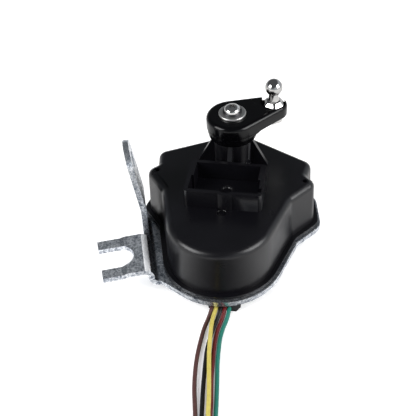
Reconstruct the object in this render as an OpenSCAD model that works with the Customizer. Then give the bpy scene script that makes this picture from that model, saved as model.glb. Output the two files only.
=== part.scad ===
// Geared stepper motor actuator with a crank arm, a ball stud and a folded steel bracket.
// Millimetres. The rotor axis stands at x = 0, y = 0 and the bracket plate's top is z = 0
// until seat() moves the finished part onto its resting surface.

/* [Housing] */
// Outer radius of the round front of the housing
front_radius = 30.3; // [29:0.1:32]
// Height of the housing's top face above the bracket plate
housing_height = 30.4; // [30:0.1:34]
// Thickness of the housing's walls at the top
wall = 2.4; // [1.8:0.1:2.8]
// How far the outer walls lean in from foot to top
draft = 0.8; // [0:0.1:1.2]
// Radius of the rounded top edge
edge_radius = 4; // [2:0.1:4.6]
// Width of the foot flange beyond the walls
lip_width = 2.6; // [1.6:0.1:3.2]
// Thickness of the foot flange
lip_thickness = 1.6; // [1.2:0.1:2.4]
// Half the distance between the ears' screw holes
ear_x = 42; // [41:0.1:43]
// Distance of the ears' screw holes behind the rotor axis
ear_y = 34.6; // [34:0.1:36]
// Radius of an ear
ear_radius = 6; // [5.6:0.1:6.4]
// Half the distance between the centres of the rear lobes
lobe_x = 39; // [38:0.1:41]
// Distance of the rear lobes behind the rotor axis
lobe_y = 49.8; // [49:0.1:52]
// Radius of a rear lobe
lobe_radius = 6; // [5:0.1:7]
// Distance of the rear tip's centre behind the rotor axis
tip_y = 68.2; // [67:0.1:70]
// Radius of the rear tip
tip_radius = 8.5; // [7:0.1:9]
// Depth of the two round dimples in the top face
dimple_depth = 1.4; // [0.8:0.1:1.6]
// Radius of the two round dimples
dimple_radius = 2.6; // [2:0.1:3.2]

/* [Output boss] */
// Height of the boss above the housing's top face
boss_height = 18.6; // [16:0.1:22]
// Outer radius of the boss
boss_radius = 10.5; // [10:0.1:12]
// Distance from the boss axis to the foot of a rib
rib_reach = 20; // [16:0.5:22]
// Thickness of a rib
rib_thickness = 2.5; // [1.6:0.1:3.5]

/* [Socket] */
// Width of the socket's wall from side to side
socket_width = 42; // [38:0.5:46]
// Depth of the socket from front to back
socket_depth = 27.1; // [24:0.1:28]
// Distance of the socket's front wall behind the rotor axis
socket_front = 5.6; // [5:0.1:6.5]
// Height of the socket's walls above the top face
socket_height = 11; // [8:0.5:14]
// Thickness of the socket's walls
socket_wall = 2.2; // [1.6:0.1:2.8]
// Thickness of the key pads on the side walls
key_pad = 1.2; // [0.6:0.1:2]

/* [Bracket] */
// Thickness of the steel sheet
sheet = 3; // [2:0.1:3.5]
// Inner radius of the bends
bend_radius = 2.5; // [1.5:0.1:3]
// Width of the plate's edge beyond the housing's walls
plate_margin = 4; // [3.4:0.1:4.4]
// Distance from the rotor axis to the inner face of the upright
upright_offset = 38.7; // [38.4:0.1:42]
// Angle between the upright and the part's centre line
upright_angle = 17.4; // [14:0.2:20]
// Length of the upright along the fold
upright_length = 51.5; // [50:0.5:53]
// Height of the fork's upper face above the plate
fork_height = 9.4; // [9:0.1:14]
// Width of the fork across both prongs
fork_width = 29; // [27:0.5:30]
// Reach of the fork from the inner face of the upright
fork_reach = 28.4; // [26:0.1:34]
// Width of the fork's slot
slot_width = 15.8; // [12:0.1:17]
// Depth of the fork's slot
slot_depth = 18.6; // [15:0.1:19]
// Drop of the shallow step across the prongs
fork_step = 0.8; // [0.2:0.1:1.5]
// Height at which the tall tab starts to lean out
tab_crease = 25; // [18:0.5:32]
// Angle by which the tab leans out above its crease
tab_lean = 8; // [2:0.5:14]
// Height of the tab's round end above the plate
tab_height = 64; // [56:0.5:72]
// Radius of the hole in the tab
tab_hole_radius = 4.5; // [3:0.1:6]

/* [Motor] */
// Outer radius of the motor can
can_radius = 22.5; // [21.5:0.1:22.6]
// Height of the motor can
can_height = 16.6; // [16:0.1:17]
// Thickness of the can's sheet
can_wall = 1; // [0.7:0.1:1.2]
// Radius of the rotor magnet
magnet_radius = 12.1; // [10:0.1:12.2]
// Radius of the rotor shaft
rotor_radius = 1.5; // [1:0.1:1.8]
// Number of claws on each pole plate
claws = 6; // [4:1:10]

/* [Gears] */
// Module of all four gears
gear_module = 0.8; // [0.76:0.01:0.82]
// Teeth on the rotor pinion
pinion_teeth = 12; // [12:1:13]
// Teeth on the idler's large wheel
wheel_teeth = 48; // [46:1:48]
// Teeth on the idler's small pinion
idler_teeth = 14; // [13:1:14]
// Teeth on the output gear
output_teeth = 46; // [44:1:46]
// Thickness of the idler's large wheel
wheel_thickness = 3; // [2:0.1:3.2]
// Thickness of the output gear
output_thickness = 4.5; // [3:0.1:4.6]
// Tooth backlash at the pitch circle
backlash = 0.16; // [0.1:0.01:0.24]
// Distance of the output axis behind the rotor axis
output_y = 47.5; // [47:0.1:47.6]
// Radius of the output shaft in its bushes
shaft_radius = 5; // [4:0.1:5.4]
// Half the swing that the stop slot allows
swing = 60; // [30:1:70]

/* [Crank] */
// Distance from the crank's hub axis to the stud axis
crank_length = 25.5; // [25:0.5:36]
// Height of the crank's hub
crank_height = 13.8; // [13:0.1:18]
// Radius of the hub at its top
hub_radius = 14.5; // [13:0.1:15.5]
// Radius of the crank's tip
crank_tip_radius = 7.2; // [7:0.1:8.5]
// How far the hub narrows from top to foot
hub_taper = 1.9; // [0.5:0.1:2.4]
// Depth of the shelf under the stud's hexagon
shelf_depth = 3.3; // [1:0.1:4]
// Thickness of the crank's tip under the shelf
tip_thickness = 4.5; // [3:0.1:6]
// Width of the rim beside the shelf
shelf_rim = 1; // [0.6:0.1:1.2]
// Direction of the crank at rest, from the part's right towards its rear
crank_angle = 34; // [0:1:60]
// Radius of the ball
ball_radius = 5; // [4:0.1:6.5]
// Height of the ball's centre above the shelf
ball_height = 12.8; // [12.5:0.1:18]
// Width across the flats of the stud's hexagon
stud_hexagon = 11; // [9:0.1:11.6]
// Radius of the flat washer under the crank's screw
washer_radius = 8.5; // [7:0.1:10]

/* [Fasteners and leads] */
// Height of the case screws' heads and of the lead gland below the plate
foot_height = 5; // [4.5:0.1:6]
// Radius of the case screws
screw_radius = 1.9; // [1.5:0.1:2]
// Outer radius of a lead
lead_radius = 1.1; // [0.9:0.05:1.12]

/* [Hidden] */
$fn = 48;

// Clearances
press_gap = 0.02;      // between pieces that are pressed together
running_gap = 0.05;    // radial, between a shaft and its bush
fit_gap = 0.1;         // between a screw and its hole
axial_gap = 0.5;       // between turning pieces and what lies above or below them
cut = 0.5;             // how far a cut reaches past the face it opens

// Heights
gasket_thickness = 0.9;
lip_top = gasket_thickness + lip_thickness;
foot_inset = wall + draft;
ceiling = housing_height - wall;
carrier_thickness = 1.6;
gear_floor = can_height + carrier_thickness;
wheel_z = gear_floor + axial_gap;
output_z = wheel_z + wheel_thickness + axial_gap;
washer_thickness = 1;
output_hub_top = ceiling - washer_thickness - 0.3;
boss_top = housing_height + boss_height;
crank_z = boss_top + axial_gap;
crank_top = crank_z + crank_height;
shelf_z = crank_top - shelf_depth;
tip_z = shelf_z - tip_thickness;

// Plan of the housing as a chain of arcs, [x, y, radius] anticlockwise from the front.
// A negative radius is a hollow corner.
flank_chain = [41.1, 16.4, -4.6];
notch_chain = [45.4, 42, -1.6];
ear_chain = [ear_x, ear_y, ear_radius];
lobe_chain = [lobe_x, lobe_y, lobe_radius];
tip_chain = [0, tip_y, tip_radius];
front_chain = [0, 0, front_radius];
function other_side(arc) = [-arc[0], arc[1], arc[2]];
HOUSING_CHAIN = [front_chain, flank_chain, ear_chain, notch_chain, lobe_chain, tip_chain,
                 other_side(lobe_chain), other_side(notch_chain), other_side(ear_chain),
                 other_side(flank_chain)];
FOOT_CHAIN = [front_chain, flank_chain, ear_chain, lobe_chain, tip_chain,
              other_side(lobe_chain), other_side(ear_chain), other_side(flank_chain)];
CRANK_CHAIN = [[0, 0, hub_radius], [crank_length, 0, crank_tip_radius]];
ARC_STEP = 6;

// Direction of the outward normal of the straight run that joins arc a to arc b
function run_normal(a, b) =
    let (dx = b[0] - a[0], dy = b[1] - a[1])
    atan2(dy, dx) - acos((a[2] - b[2]) / norm([dx, dy]));

// The turn at arc i of a chain, signed like its radius
function arc_turn(first, last, radius) =
    let (turn = (last - first) % 360)
    radius > 0 ? (turn < 0 ? turn + 360 : turn) : (turn > 0 ? turn - 360 : turn);

// Points of a chain's outline, moved in by inset
function outline(chain, inset = 0) = [
    for (i = [0 : len(chain) - 1])
        let (before = chain[(i + len(chain) - 1) % len(chain)],
             arc = chain[i],
             after = chain[(i + 1) % len(chain)],
             first = run_normal(before, arc),
             turn = arc_turn(first, run_normal(arc, after), arc[2]),
             steps = max(1, ceil(abs(turn) / ARC_STEP)),
             radius = arc[2] - inset)
        for (k = [0 : steps])
            [arc[0] + radius * cos(first + turn * k / steps),
             arc[1] + radius * sin(first + turn * k / steps)]
];

// A closed body through the outlines of one chain at several [height, inset] levels
module loft(chain, levels) {
    count = len(outline(chain));
    points = [for (level = levels) for (p = outline(chain, level[1])) [p[0], p[1], level[0]]];
    sides = [for (j = [0 : len(levels) - 2]) for (i = [0 : count - 1])
        [j * count + i, (j + 1) * count + i,
         (j + 1) * count + (i + 1) % count, j * count + (i + 1) % count]];
    foot = [for (i = [0 : count - 1]) i];
    top = [for (i = [0 : count - 1]) len(levels) * count - 1 - i];
    polyhedron(points, concat([foot], sides, [top]));
}

// Levels of a quarter-round top edge that ends at height top and inset side + radius
function round_edge(top, side, radius, steps = 5) = [
    for (k = [1 : steps])
        let (a = 90 * k / steps)
        [top - radius * (1 - sin(a)), side + radius * (1 - cos(a))]
];

// Flat shape with straight tangent sides round two circles
module strap(a, b, ra, rb) {
    polygon(outline([[a[0], a[1], ra], [b[0], b[1], rb]]));
}

// A slot with round ends along x
module slot(length, width) {
    reach = (length - width) / 2;
    strap([-reach, 0], [reach, 0], width / 2, width / 2);
}

module rounded_rectangle(width, depth, radius) {
    square([width - 2 * radius, depth], center = true);
    square([width, depth - 2 * radius], center = true);
    for (x = [-1, 1], y = [-1, 1])
        translate([x * (width / 2 - radius), y * (depth / 2 - radius)]) circle(radius);
}

module ring(outer, inner, height) {
    difference() {
        cylinder(r = outer, h = height);
        translate([0, 0, -cut]) cylinder(r = inner, h = height + 2 * cut);
    }
}

module hexagon(flats, height) {
    cylinder(r = flats / sqrt(3), h = height, $fn = 6);
}

module at_ears() {
    for (side = [-1, 1]) translate([side * ear_x, ear_y, 0]) children();
}

// The part's origin is the middle of its footprint, at the height of its lowest faces
plate_right = ear_x + ear_radius + plate_margin;
plate_front = -front_radius - plate_margin;
plate_rear = tip_y + tip_radius + plate_margin;
module seat() {
    translate([-(plate_right + fork_left) / 2, -(plate_front + plate_rear) / 2,
               sheet + foot_height]) children();
}

// Involute gears

pressure_angle = 25;
wheel_addendum = 0.7;
pinion_addendum = 1;
pinion_dedendum = 1;
wheel_dedendum = 1.25;
function pitch_radius(teeth) = gear_module * teeth / 2;
function involute(angle) = tan(angle) * 180 / PI - angle;
function half_tooth(teeth, r) =
    let (rp = pitch_radius(teeth), base = rp * cos(pressure_angle),
         flank = r > base ? acos(base / r) : 0)
    (gear_module * PI / 2 - backlash) / (2 * rp) * 180 / PI
        + involute(pressure_angle) - involute(flank);

// Outline of a gear with the middle of one tooth on the +x axis
function gear_outline(teeth, addendum, dedendum) =
    let (rp = pitch_radius(teeth), base = rp * cos(pressure_angle),
         tip = rp + gear_module * addendum, root = rp - gear_module * dedendum,
         start = max(base, root), steps = 3)
    [for (tooth = [0 : teeth - 1], side = [-1, 1], k = [0 : steps + (start > root ? 1 : 0)])
        let (from_root = side < 0 ? k : steps + (start > root ? 1 : 0) - k,
             j = start > root ? from_root - 1 : from_root,
             r = j < 0 ? root : start + (tip - start) * j / steps,
             a = 360 * tooth / teeth + side * half_tooth(teeth, r))
        [r * cos(a), r * sin(a)]];

module gear(teeth, addendum, dedendum, height) {
    linear_extrude(height) polygon(gear_outline(teeth, addendum, dedendum));
}

// The idler stands where both meshes close
rotor_mesh = pitch_radius(pinion_teeth) + pitch_radius(wheel_teeth);
output_mesh = pitch_radius(idler_teeth) + pitch_radius(output_teeth);
idler_y = (output_y * output_y + rotor_mesh * rotor_mesh - output_mesh * output_mesh)
    / (2 * output_y);
idler_x = sqrt(rotor_mesh * rotor_mesh - idler_y * idler_y);
rotor_line = atan2(idler_y, idler_x);
output_line = atan2(output_y - idler_y, -idler_x);

module at_idler() { translate([idler_x, idler_y, 0]) children(); }
module at_output() { translate([0, output_y, 0]) children(); }
module at_crank() { at_output() rotate(crank_angle) children(); }

// Housing: one black moulding with ears, boss, ribs and an open socket

socket_middle = socket_front + socket_depth / 2;
socket_top = housing_height + socket_height;
bulge_radius = 7;
bulge_x = 1.5;
bulge_y = socket_front + bulge_radius - 1.4;
boss_bore = 7;
seal_recess = 2.2;
seal_radius = 8;
screw_depth = 18;
ear_pilot = 1.5;
rear_boss_radius = tip_radius - foot_inset + 0.6;
rear_boss_top = can_height - 1;
rear_depth = 11;

module housing_shell() {
    loft(HOUSING_CHAIN, concat([[lip_top - 0.5, 0], [housing_height - edge_radius, draft]],
                               round_edge(housing_height, draft, edge_radius)));
    translate([0, 0, gasket_thickness])
        linear_extrude(lip_thickness) polygon(outline(FOOT_CHAIN, -lip_width));
}

module housing_cavity() {
    difference() {
        translate([0, 0, -cut]) linear_extrude(ceiling + cut)
            polygon(outline(HOUSING_CHAIN, foot_inset));
        translate([0, 0, -2 * cut]) {
            at_ears() cylinder(r = ear_radius - 0.4, h = ceiling + 3 * cut);
            translate([0, tip_y, 0]) cylinder(r = rear_boss_radius, h = rear_boss_top + 2 * cut);
        }
    }
}

module ribs() {
    for (turn = [0 : 90 : 270]) rotate(turn)
        rotate([90, 0, 0]) translate([0, 0, -rib_thickness / 2]) linear_extrude(rib_thickness)
            polygon([[boss_radius - 2, housing_height - 1], [rib_reach, housing_height - 1],
                     [rib_reach, housing_height], [boss_radius, boss_top - 0.4],
                     [boss_radius - 2, boss_top - 0.4]]);
}

module socket_walls() {
    translate([0, socket_middle, housing_height - cut])
        linear_extrude(socket_height + cut)
            rounded_rectangle(socket_width, socket_depth, 2);
    translate([bulge_x, bulge_y, housing_height - cut])
        cylinder(r = bulge_radius, h = socket_height + cut);
}

module socket_pocket() {
    inner_width = socket_width - 2 * socket_wall;
    inner_depth = socket_depth - 2 * socket_wall;
    pad_depth = inner_depth / 2;
    difference() {
        translate([0, socket_middle, housing_height]) {
            translate([-inner_width / 2, -inner_depth / 2, 0])
                cube([inner_width, inner_depth, socket_height + boss_height]);
        }
        for (side = [-1, 1])
            translate([side * inner_width / 2 - key_pad, socket_middle, housing_height - cut])
                cube([2 * key_pad, pad_depth + cut, socket_height + boss_height + 2 * cut]);
    }
    translate([bulge_x, bulge_y, housing_height])
        cylinder(r = bulge_radius - socket_wall, h = socket_height + cut);
    translate([inner_width / 2 - cut, socket_front + socket_wall + 1.2, socket_top - 3])
        cube([socket_wall - 0.6 + cut, 3.2, 3 + cut]);
}

// A round dimple with a chamfered rim, cut into the top face
module dimple() {
    rim = 1.1;
    translate([0, 0, housing_height]) rotate_extrude()
        polygon([[0, -dimple_depth], [dimple_radius, -dimple_depth],
                 [dimple_radius, -rim / 2], [dimple_radius + rim, 0.01],
                 [dimple_radius + rim, cut], [0, cut]]);
}

module housing() {
    color("#17181b") difference() {
        union() {
            difference() {
                housing_shell();
                housing_cavity();
            }
            at_output() {
                translate([0, 0, ceiling + 0.6])
                    cylinder(r = boss_radius, h = boss_top - ceiling - 0.6);
                ribs();
            }
            socket_walls();
            translate([10.2, socket_front + socket_depth + 1.2, housing_height - cut])
                cylinder(r = 1.4, h = socket_height + 2 * cut);
        }
        socket_pocket();
        at_output() {
            translate([0, 0, ceiling - cut]) cylinder(r = boss_bore, h = boss_top - ceiling + cut);
            translate([0, 0, boss_top - seal_recess])
                cylinder(r = seal_radius, h = seal_recess + cut);
        }
        at_ears() {
            translate([0, 0, -cut]) cylinder(r = screw_radius + fit_gap, h = screw_depth + cut);
            cylinder(r = ear_pilot, h = housing_height + cut);
        }
        translate([0, tip_y, -cut])
            cylinder(r = screw_radius + fit_gap, h = rear_depth + cut);
        for (y = [socket_front - 2.3, socket_middle + 3.2]) translate([0, y, 0]) dimple();
    }
}

module gasket() {
    color("#26272a") difference() {
        linear_extrude(gasket_thickness) polygon(outline(FOOT_CHAIN, 0.4 - lip_width));
        difference() {
            translate([0, 0, -cut]) linear_extrude(gasket_thickness + 2 * cut)
                polygon(outline(HOUSING_CHAIN, foot_inset));
            at_ears() cylinder(r = ear_radius - 0.4, h = gasket_thickness);
            translate([0, tip_y, 0]) cylinder(r = rear_boss_radius, h = gasket_thickness);
        }
        at_ears() translate([0, 0, -cut])
            cylinder(r = screw_radius + fit_gap, h = gasket_thickness + 2 * cut);
        translate([0, tip_y, -cut])
            cylinder(r = screw_radius + fit_gap, h = gasket_thickness + 2 * cut);
    }
}

// Bracket: one folded sheet with a plate, an upright, a fork and a tall tab.
// In the upright's own frame x points out of the part, y runs back along the fold and
// x = 0 is the upright's inner face.

upright_start = -12.4;
relief = 1;
tab_start = fork_width + relief;
tab_width = upright_length - tab_start;
tab_middle = tab_start + tab_width / 2;
fork_turn = -4;
slot_end = fork_reach - slot_depth;

module at_upright() {
    rotate(180 + upright_angle) mirror([0, 1, 0])
        translate([upright_offset, upright_start, 0]) children();
}

// Points along an arc
function arc(centre, radius, first, last, steps = 12) = [
    for (k = [0 : steps])
        let (a = first + (last - first) * k / steps)
        centre + radius * [cos(a), sin(a)]
];
function reversed(list) = [for (i = [len(list) - 1 : -1 : 0]) list[i]];

// One side of the sheet's section, from inside the plate round the bend, where side is 0
// for the face towards the housing and 1 for the far face
foot_overlap = 2;
function foot_line(side) =
    concat([[-bend_radius - foot_overlap, -side * sheet]],
           arc([-bend_radius, bend_radius], bend_radius + side * sheet, -90, 0));

// The fork's side of the section: up, out round the second bend and over the shallow step
function fork_line(side) =
    let (outer = bend_radius + sheet, z = fork_height - side * sheet, step = slot_end + 4.5)
    concat(foot_line(side),
           arc([outer, fork_height - outer], outer - side * sheet, 180, 90),
           [[step, z], [step + 2.4, z - fork_step], [fork_reach + 3, z - fork_step]]);

// The tall tab's side of the section: up to the crease, then leaning out
function tab_line(side) =
    let (x = side * sheet, crease = tab_crease - x * tan(tab_lean / 2),
         rise = tab_height + 2 * sheet - crease)
    concat(foot_line(side), [[x, crease], [x + rise * tan(tab_lean), crease + rise]]);

module sheet_section(face, back) {
    polygon(concat(face, reversed(back)));
}

module fold_sweep(start, length) {
    translate([0, start + length, 0]) rotate([90, 0, 0]) linear_extrude(length) children();
}

// Plan of the fork with its slot, along the fold from y = 0
module fork_plan() {
    translate([-bend_radius - 2 * foot_overlap, 0])
        square([bend_radius + 2 * foot_overlap + sheet + 3, fork_width]);
    translate([sheet, fork_width / 2]) rotate(fork_turn) difference() {
        translate([0, -fork_width / 2]) square([fork_reach - sheet, fork_width]);
        translate([slot_end - sheet + slot_width / 2, 0]) circle(slot_width / 2);
        translate([slot_end - sheet + slot_width / 2, -slot_width / 2])
            square([slot_depth + cut, slot_width]);
    }
}

module fork() {
    intersection() {
        fold_sweep(-6, fork_width + 12) sheet_section(fork_line(0), fork_line(1));
        translate([0, 0, -2 * sheet]) linear_extrude(fork_height + 4 * sheet) fork_plan();
    }
}

// Outline of the tab seen from outside, in the plane of the fold direction and z
module tab_face() {
    radius = tab_width / 2;
    translate([tab_start, -2 * sheet]) square([tab_width, tab_height - radius + 2 * sheet]);
    translate([tab_middle, tab_height - radius]) circle(radius);
}

hole_drop = 10.5;
hole_height = (tab_height - hole_drop - tab_crease) / cos(tab_lean);
module tab_hole() {
    translate([0, tab_middle, tab_crease]) rotate([0, tab_lean, 0])
        translate([-cut, 0, hole_height]) rotate([0, 90, 0])
            cylinder(r = tab_hole_radius, h = sheet + 2 * cut);
}

module tab() {
    difference() {
        intersection() {
            fold_sweep(tab_start, tab_width) sheet_section(tab_line(0), tab_line(1));
            rotate([90, 0, 90]) translate([0, 0, -20]) linear_extrude(60) tab_face();
        }
        tab_hole();
    }
}

// The low strip of the upright between the fork and the tab
module relief_strip() {
    fold_sweep(fork_width, relief)
        sheet_section(concat(foot_line(0), [[0, bend_radius + 1]]),
                      concat(foot_line(1), [[sheet, bend_radius + 1]]));
}

// Point of the plate's plan in the upright's frame
function from_upright(x, y) =
    let (c = cos(180 + upright_angle), s = sin(180 + upright_angle),
         px = upright_offset + x, py = -(upright_start + y))
    [c * px - s * py, s * px + c * py];

// The fork's outermost corner
fork_corner = [sheet + (fork_reach - sheet) * cos(fork_turn) - fork_width / 2 * sin(fork_turn),
               fork_width / 2 + (fork_reach - sheet) * sin(fork_turn)
                   + fork_width / 2 * cos(fork_turn)];
fork_left = from_upright(fork_corner[0], fork_corner[1])[0];

gland_slot = [9.2, 2];
gland_x = 4.1;
gland_y = -24.2;

// The plate follows the foot flange, and a straight edge joins its round front to the fold
module bracket_plate() {
    rim = outline(FOOT_CHAIN, -plate_margin);
    corner = from_upright(-bend_radius - 0.3, 0.6);
    front = [for (p = rim) if (norm(p) < front_radius + plate_margin + 0.01) p];
    bearing = [for (p = front) atan2(p[1] - corner[1], p[0] - corner[0])];
    touch = front[search(min(bearing), bearing)[0]];
    translate([0, 0, -sheet]) linear_extrude(sheet) {
        polygon(rim);
        polygon([corner, touch, [0, 0],
                 from_upright(-bend_radius - foot_overlap / 2, upright_length - 1)]);
    }
}

module bracket() {
    color("#b9c0c8") difference() {
        union() {
            bracket_plate();
            at_upright() {
                fork();
                tab();
                relief_strip();
            }
        }
        at_ears() translate([0, 0, -sheet - cut])
            cylinder(r = screw_radius + fit_gap, h = sheet + 2 * cut);
        translate([0, tip_y, -sheet - cut])
            cylinder(r = screw_radius + fit_gap, h = sheet + 2 * cut);
        translate([gland_x, gland_y, -sheet - cut]) linear_extrude(sheet + 2 * cut)
            slot(gland_slot[0], gland_slot[1]);
    }
}

// Gland and case screws: the part stands on their lower faces

gland_left = -2.7;
gland_right = 14.6;
gland_front = -32;
gland_back = -19;
gland_chamfer = [2.4, 3.6];
screw_hexagon = 7.4;
screw_flange = [4.9, 1];

module lead_gland() {
    bottom = -sheet - foot_height;
    color("#1c1d20") {
        translate([0, gland_back, 0]) rotate([90, 0, 0])
            linear_extrude(gland_back - gland_front)
                polygon([[gland_left, -sheet], [gland_left, bottom + 1], [gland_left + 1, bottom],
                         [gland_right - gland_chamfer[0], bottom],
                         [gland_right, bottom + gland_chamfer[1]], [gland_right, -sheet]]);
        translate([gland_x, gland_y, -sheet - cut]) linear_extrude(sheet + cut)
            slot(gland_slot[0] - 2 * fit_gap, gland_slot[1] - 2 * fit_gap);
    }
}

module case_screw(depth) {
    translate([0, 0, -sheet - foot_height])
        hexagon(screw_hexagon, foot_height - screw_flange[1] + 0.1);
    translate([0, 0, -sheet - screw_flange[1]]) cylinder(r = screw_flange[0], h = screw_flange[1]);
    translate([0, 0, -sheet - cut]) cylinder(r = screw_radius, h = depth + sheet + cut);
}

module case_screws() {
    color("#9da3a8") {
        at_ears() case_screw(screw_depth - 1);
        translate([0, tip_y, 0]) case_screw(rear_depth - 1);
    }
}

// Motor: two stacked coils between claw plates round a magnet rotor

stack_height = (can_height - can_wall) / 2;
plate = 1;
claw_wall = 1;
claw_radius = magnet_radius + 0.5;
pole_radius = can_radius - can_wall - 0.2;
claw_height = stack_height - 2 * plate - 1;
bobbin_bore = claw_radius + claw_wall + 0.2;
bobbin_radius = pole_radius - 0.3;
bobbin_height = stack_height - 2 * plate - 0.1;
spool_flange = 0.8;
spool_radius = bobbin_bore + 0.8;
winding_radius = bobbin_radius - 0.6;
winding_gap = 0.05;
rotor_bush = 3;
claw_angle = 360 / claws * 0.37;

module motor_can() {
    color("#a9adb0") difference() {
        cylinder(r = can_radius, h = can_height);
        translate([0, 0, can_wall]) cylinder(r = can_radius - can_wall, h = can_height);
        translate([0, 0, -cut]) cylinder(r = rotor_bush + press_gap, h = can_wall + 2 * cut);
    }
}

// A pole plate with its claws standing up; first_claw sets where the claws start
module pole_plate(first_claw) {
    color("#8e9296") {
        ring(pole_radius, claw_radius, plate);
        for (k = [0 : claws - 1]) rotate(360 / claws * k + first_claw)
            translate([0, 0, plate - 0.3]) linear_extrude(claw_height + 0.3)
                polygon(concat(arc([0, 0], claw_radius + claw_wall, 0, claw_angle, 4),
                               arc([0, 0], claw_radius + 0.05, claw_angle, 0, 4)));
    }
}

module turned_over(height) {
    translate([0, 0, height]) mirror([0, 0, 1]) children();
}

half_claw = 180 / claws;
quarter_claw = 90 / claws;
module outer_pole_lower() {
    translate([0, 0, can_wall]) pole_plate(0);
}
module inner_pole_lower() {
    turned_over(can_wall + stack_height) pole_plate(half_claw);
}
module inner_pole_upper() {
    translate([0, 0, can_wall + stack_height]) pole_plate(quarter_claw);
}
module outer_pole_upper() {
    turned_over(can_height) pole_plate(half_claw + quarter_claw);
}

module bobbin() {
    color("#d8d3c4") difference() {
        union() {
            cylinder(r = bobbin_radius, h = spool_flange);
            translate([0, 0, bobbin_height - spool_flange])
                cylinder(r = bobbin_radius, h = spool_flange);
            cylinder(r = spool_radius, h = bobbin_height);
        }
        translate([0, 0, -cut]) cylinder(r = bobbin_bore, h = bobbin_height + 2 * cut);
    }
}

module winding() {
    color("#b5602a") translate([0, 0, spool_flange + winding_gap])
        ring(winding_radius, spool_radius + winding_gap,
             bobbin_height - 2 * (spool_flange + winding_gap));
}

coil_z = [can_wall + plate + 0.05, can_wall + stack_height + plate + 0.05];
module bobbin_lower() { translate([0, 0, coil_z[0]]) bobbin(); }
module bobbin_upper() { translate([0, 0, coil_z[1]]) bobbin(); }
module winding_lower() { translate([0, 0, coil_z[0]]) winding(); }
module winding_upper() { translate([0, 0, coil_z[1]]) winding(); }

module terminal_block() {
    block = [gland_slot[0], 2.1, 9];
    pin = 0.4;
    color("#d8d3c4") translate([gland_x, gland_y, 0]) difference() {
        translate([-block[0] / 2, -block[1] / 2, 0.05]) cube(block);
        for (i = [-2 : 2]) translate([i * 1.8, 0, block[2] - 3])
            cylinder(r = pin, h = 3 + cut);
    }
}

magnet_z = [can_wall + 1.2, can_height - 1.2];
magnet_recess = 3;
module rotor_magnet() {
    color("#4a4b4f") difference() {
        translate([0, 0, magnet_z[0]]) cylinder(r = magnet_radius, h = magnet_z[1] - magnet_z[0]);
        cylinder(r = rotor_radius + press_gap, h = can_height);
        cylinder(r = rotor_bush + 3, h = magnet_z[0] + magnet_recess);
        translate([0, 0, magnet_z[1] - magnet_recess])
            cylinder(r = rotor_bush + 3, h = can_height);
    }
}

pinion_top = wheel_z + wheel_thickness + 0.3;
module rotor_shaft() {
    color("#c9ccd0") translate([0, 0, 0.4])
        cylinder(r = rotor_radius, h = pinion_top - 0.4 + 0.3);
}

module rotor_pinion() {
    color("#c8a24a") difference() {
        translate([0, 0, wheel_z - 0.2]) rotate(rotor_line)
            gear(pinion_teeth, pinion_addendum, pinion_dedendum, pinion_top - wheel_z + 0.2);
        cylinder(r = rotor_radius + press_gap, h = pinion_top + cut);
    }
}

module rotor_bush_lower() {
    color("#b08d57") translate([0, 0, 0.05])
        ring(rotor_bush, rotor_radius + running_gap, can_wall + 2.5);
}

module rotor_bush_upper() {
    color("#b08d57") translate([0, 0, can_height - 2.5])
        ring(rotor_bush, rotor_radius + running_gap, 2.5 + carrier_thickness);
}

// Gear train on a steel carrier over the motor can

post_x = 26;
post_y = 45;
post_radius = 3.2;
post_thread = 1.5;
idler_pin_radius = 2;
journal_radius = 3;
carrier_bush_radius = 4;
stop_radius = 1.5;
stop_orbit = 11;
stop_slot = stop_radius + 0.4;

module at_posts() {
    for (side = [-1, 1]) translate([side * post_x, post_y, 0]) children();
}

module gear_carrier() {
    color("#a9adb0") translate([0, 0, can_height]) difference() {
        linear_extrude(carrier_thickness) {
            circle(can_radius);
            strap([0, 0], [0, output_y], 15, 9);
            strap([0, output_y - 4], [0, output_y + stop_orbit], 8, 4);
            for (side = [-1, 1])
                strap([0, output_y - 8], [side * post_x, post_y], 7, post_radius + 1.6);
        }
        translate([0, 0, -cut]) {
            cylinder(r = rotor_bush + press_gap, h = 3 * cut + carrier_thickness);
            at_idler() cylinder(r = idler_pin_radius + press_gap, h = 3 * cut + carrier_thickness);
            at_output() {
                cylinder(r = carrier_bush_radius + press_gap, h = 3 * cut + carrier_thickness);
                translate([0, stop_orbit, 0])
                    cylinder(r = stop_radius + press_gap, h = 3 * cut + carrier_thickness);
            }
            at_posts() cylinder(r = post_thread + fit_gap, h = 3 * cut + carrier_thickness);
        }
    }
}

module carrier_posts() {
    color("#c9ccd0") at_posts() difference() {
        cylinder(r = post_radius, h = can_height);
        translate([0, 0, can_height - 9]) cylinder(r = post_thread, h = 9 + cut);
    }
}

module carrier_screws() {
    color("#c9ccd0") at_posts() {
        translate([0, 0, gear_floor]) cylinder(r = 2.8, h = 1.6);
        translate([0, 0, gear_floor - 8]) cylinder(r = post_thread - fit_gap, h = 8 + 0.5);
    }
}

module stop_pin() {
    color("#c9ccd0") at_output() translate([0, stop_orbit, can_height])
        cylinder(r = stop_radius, h = output_z + output_thickness + 0.3 - can_height);
}

module idler_pin() {
    color("#c9ccd0") at_idler() translate([0, 0, can_height])
        cylinder(r = idler_pin_radius, h = ceiling - 0.2 - can_height);
}

module idler_gear() {
    color("#e8e4da") at_idler() difference() {
        union() {
            translate([0, 0, wheel_z]) rotate(rotor_line + 180 + 180 / wheel_teeth)
                gear(wheel_teeth, wheel_addendum, wheel_dedendum, wheel_thickness);
            translate([0, 0, wheel_z]) rotate(output_line)
                gear(idler_teeth, pinion_addendum, pinion_dedendum,
                     output_z + output_thickness + 0.4 - wheel_z);
        }
        cylinder(r = idler_pin_radius + running_gap, h = ceiling);
    }
}

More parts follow.
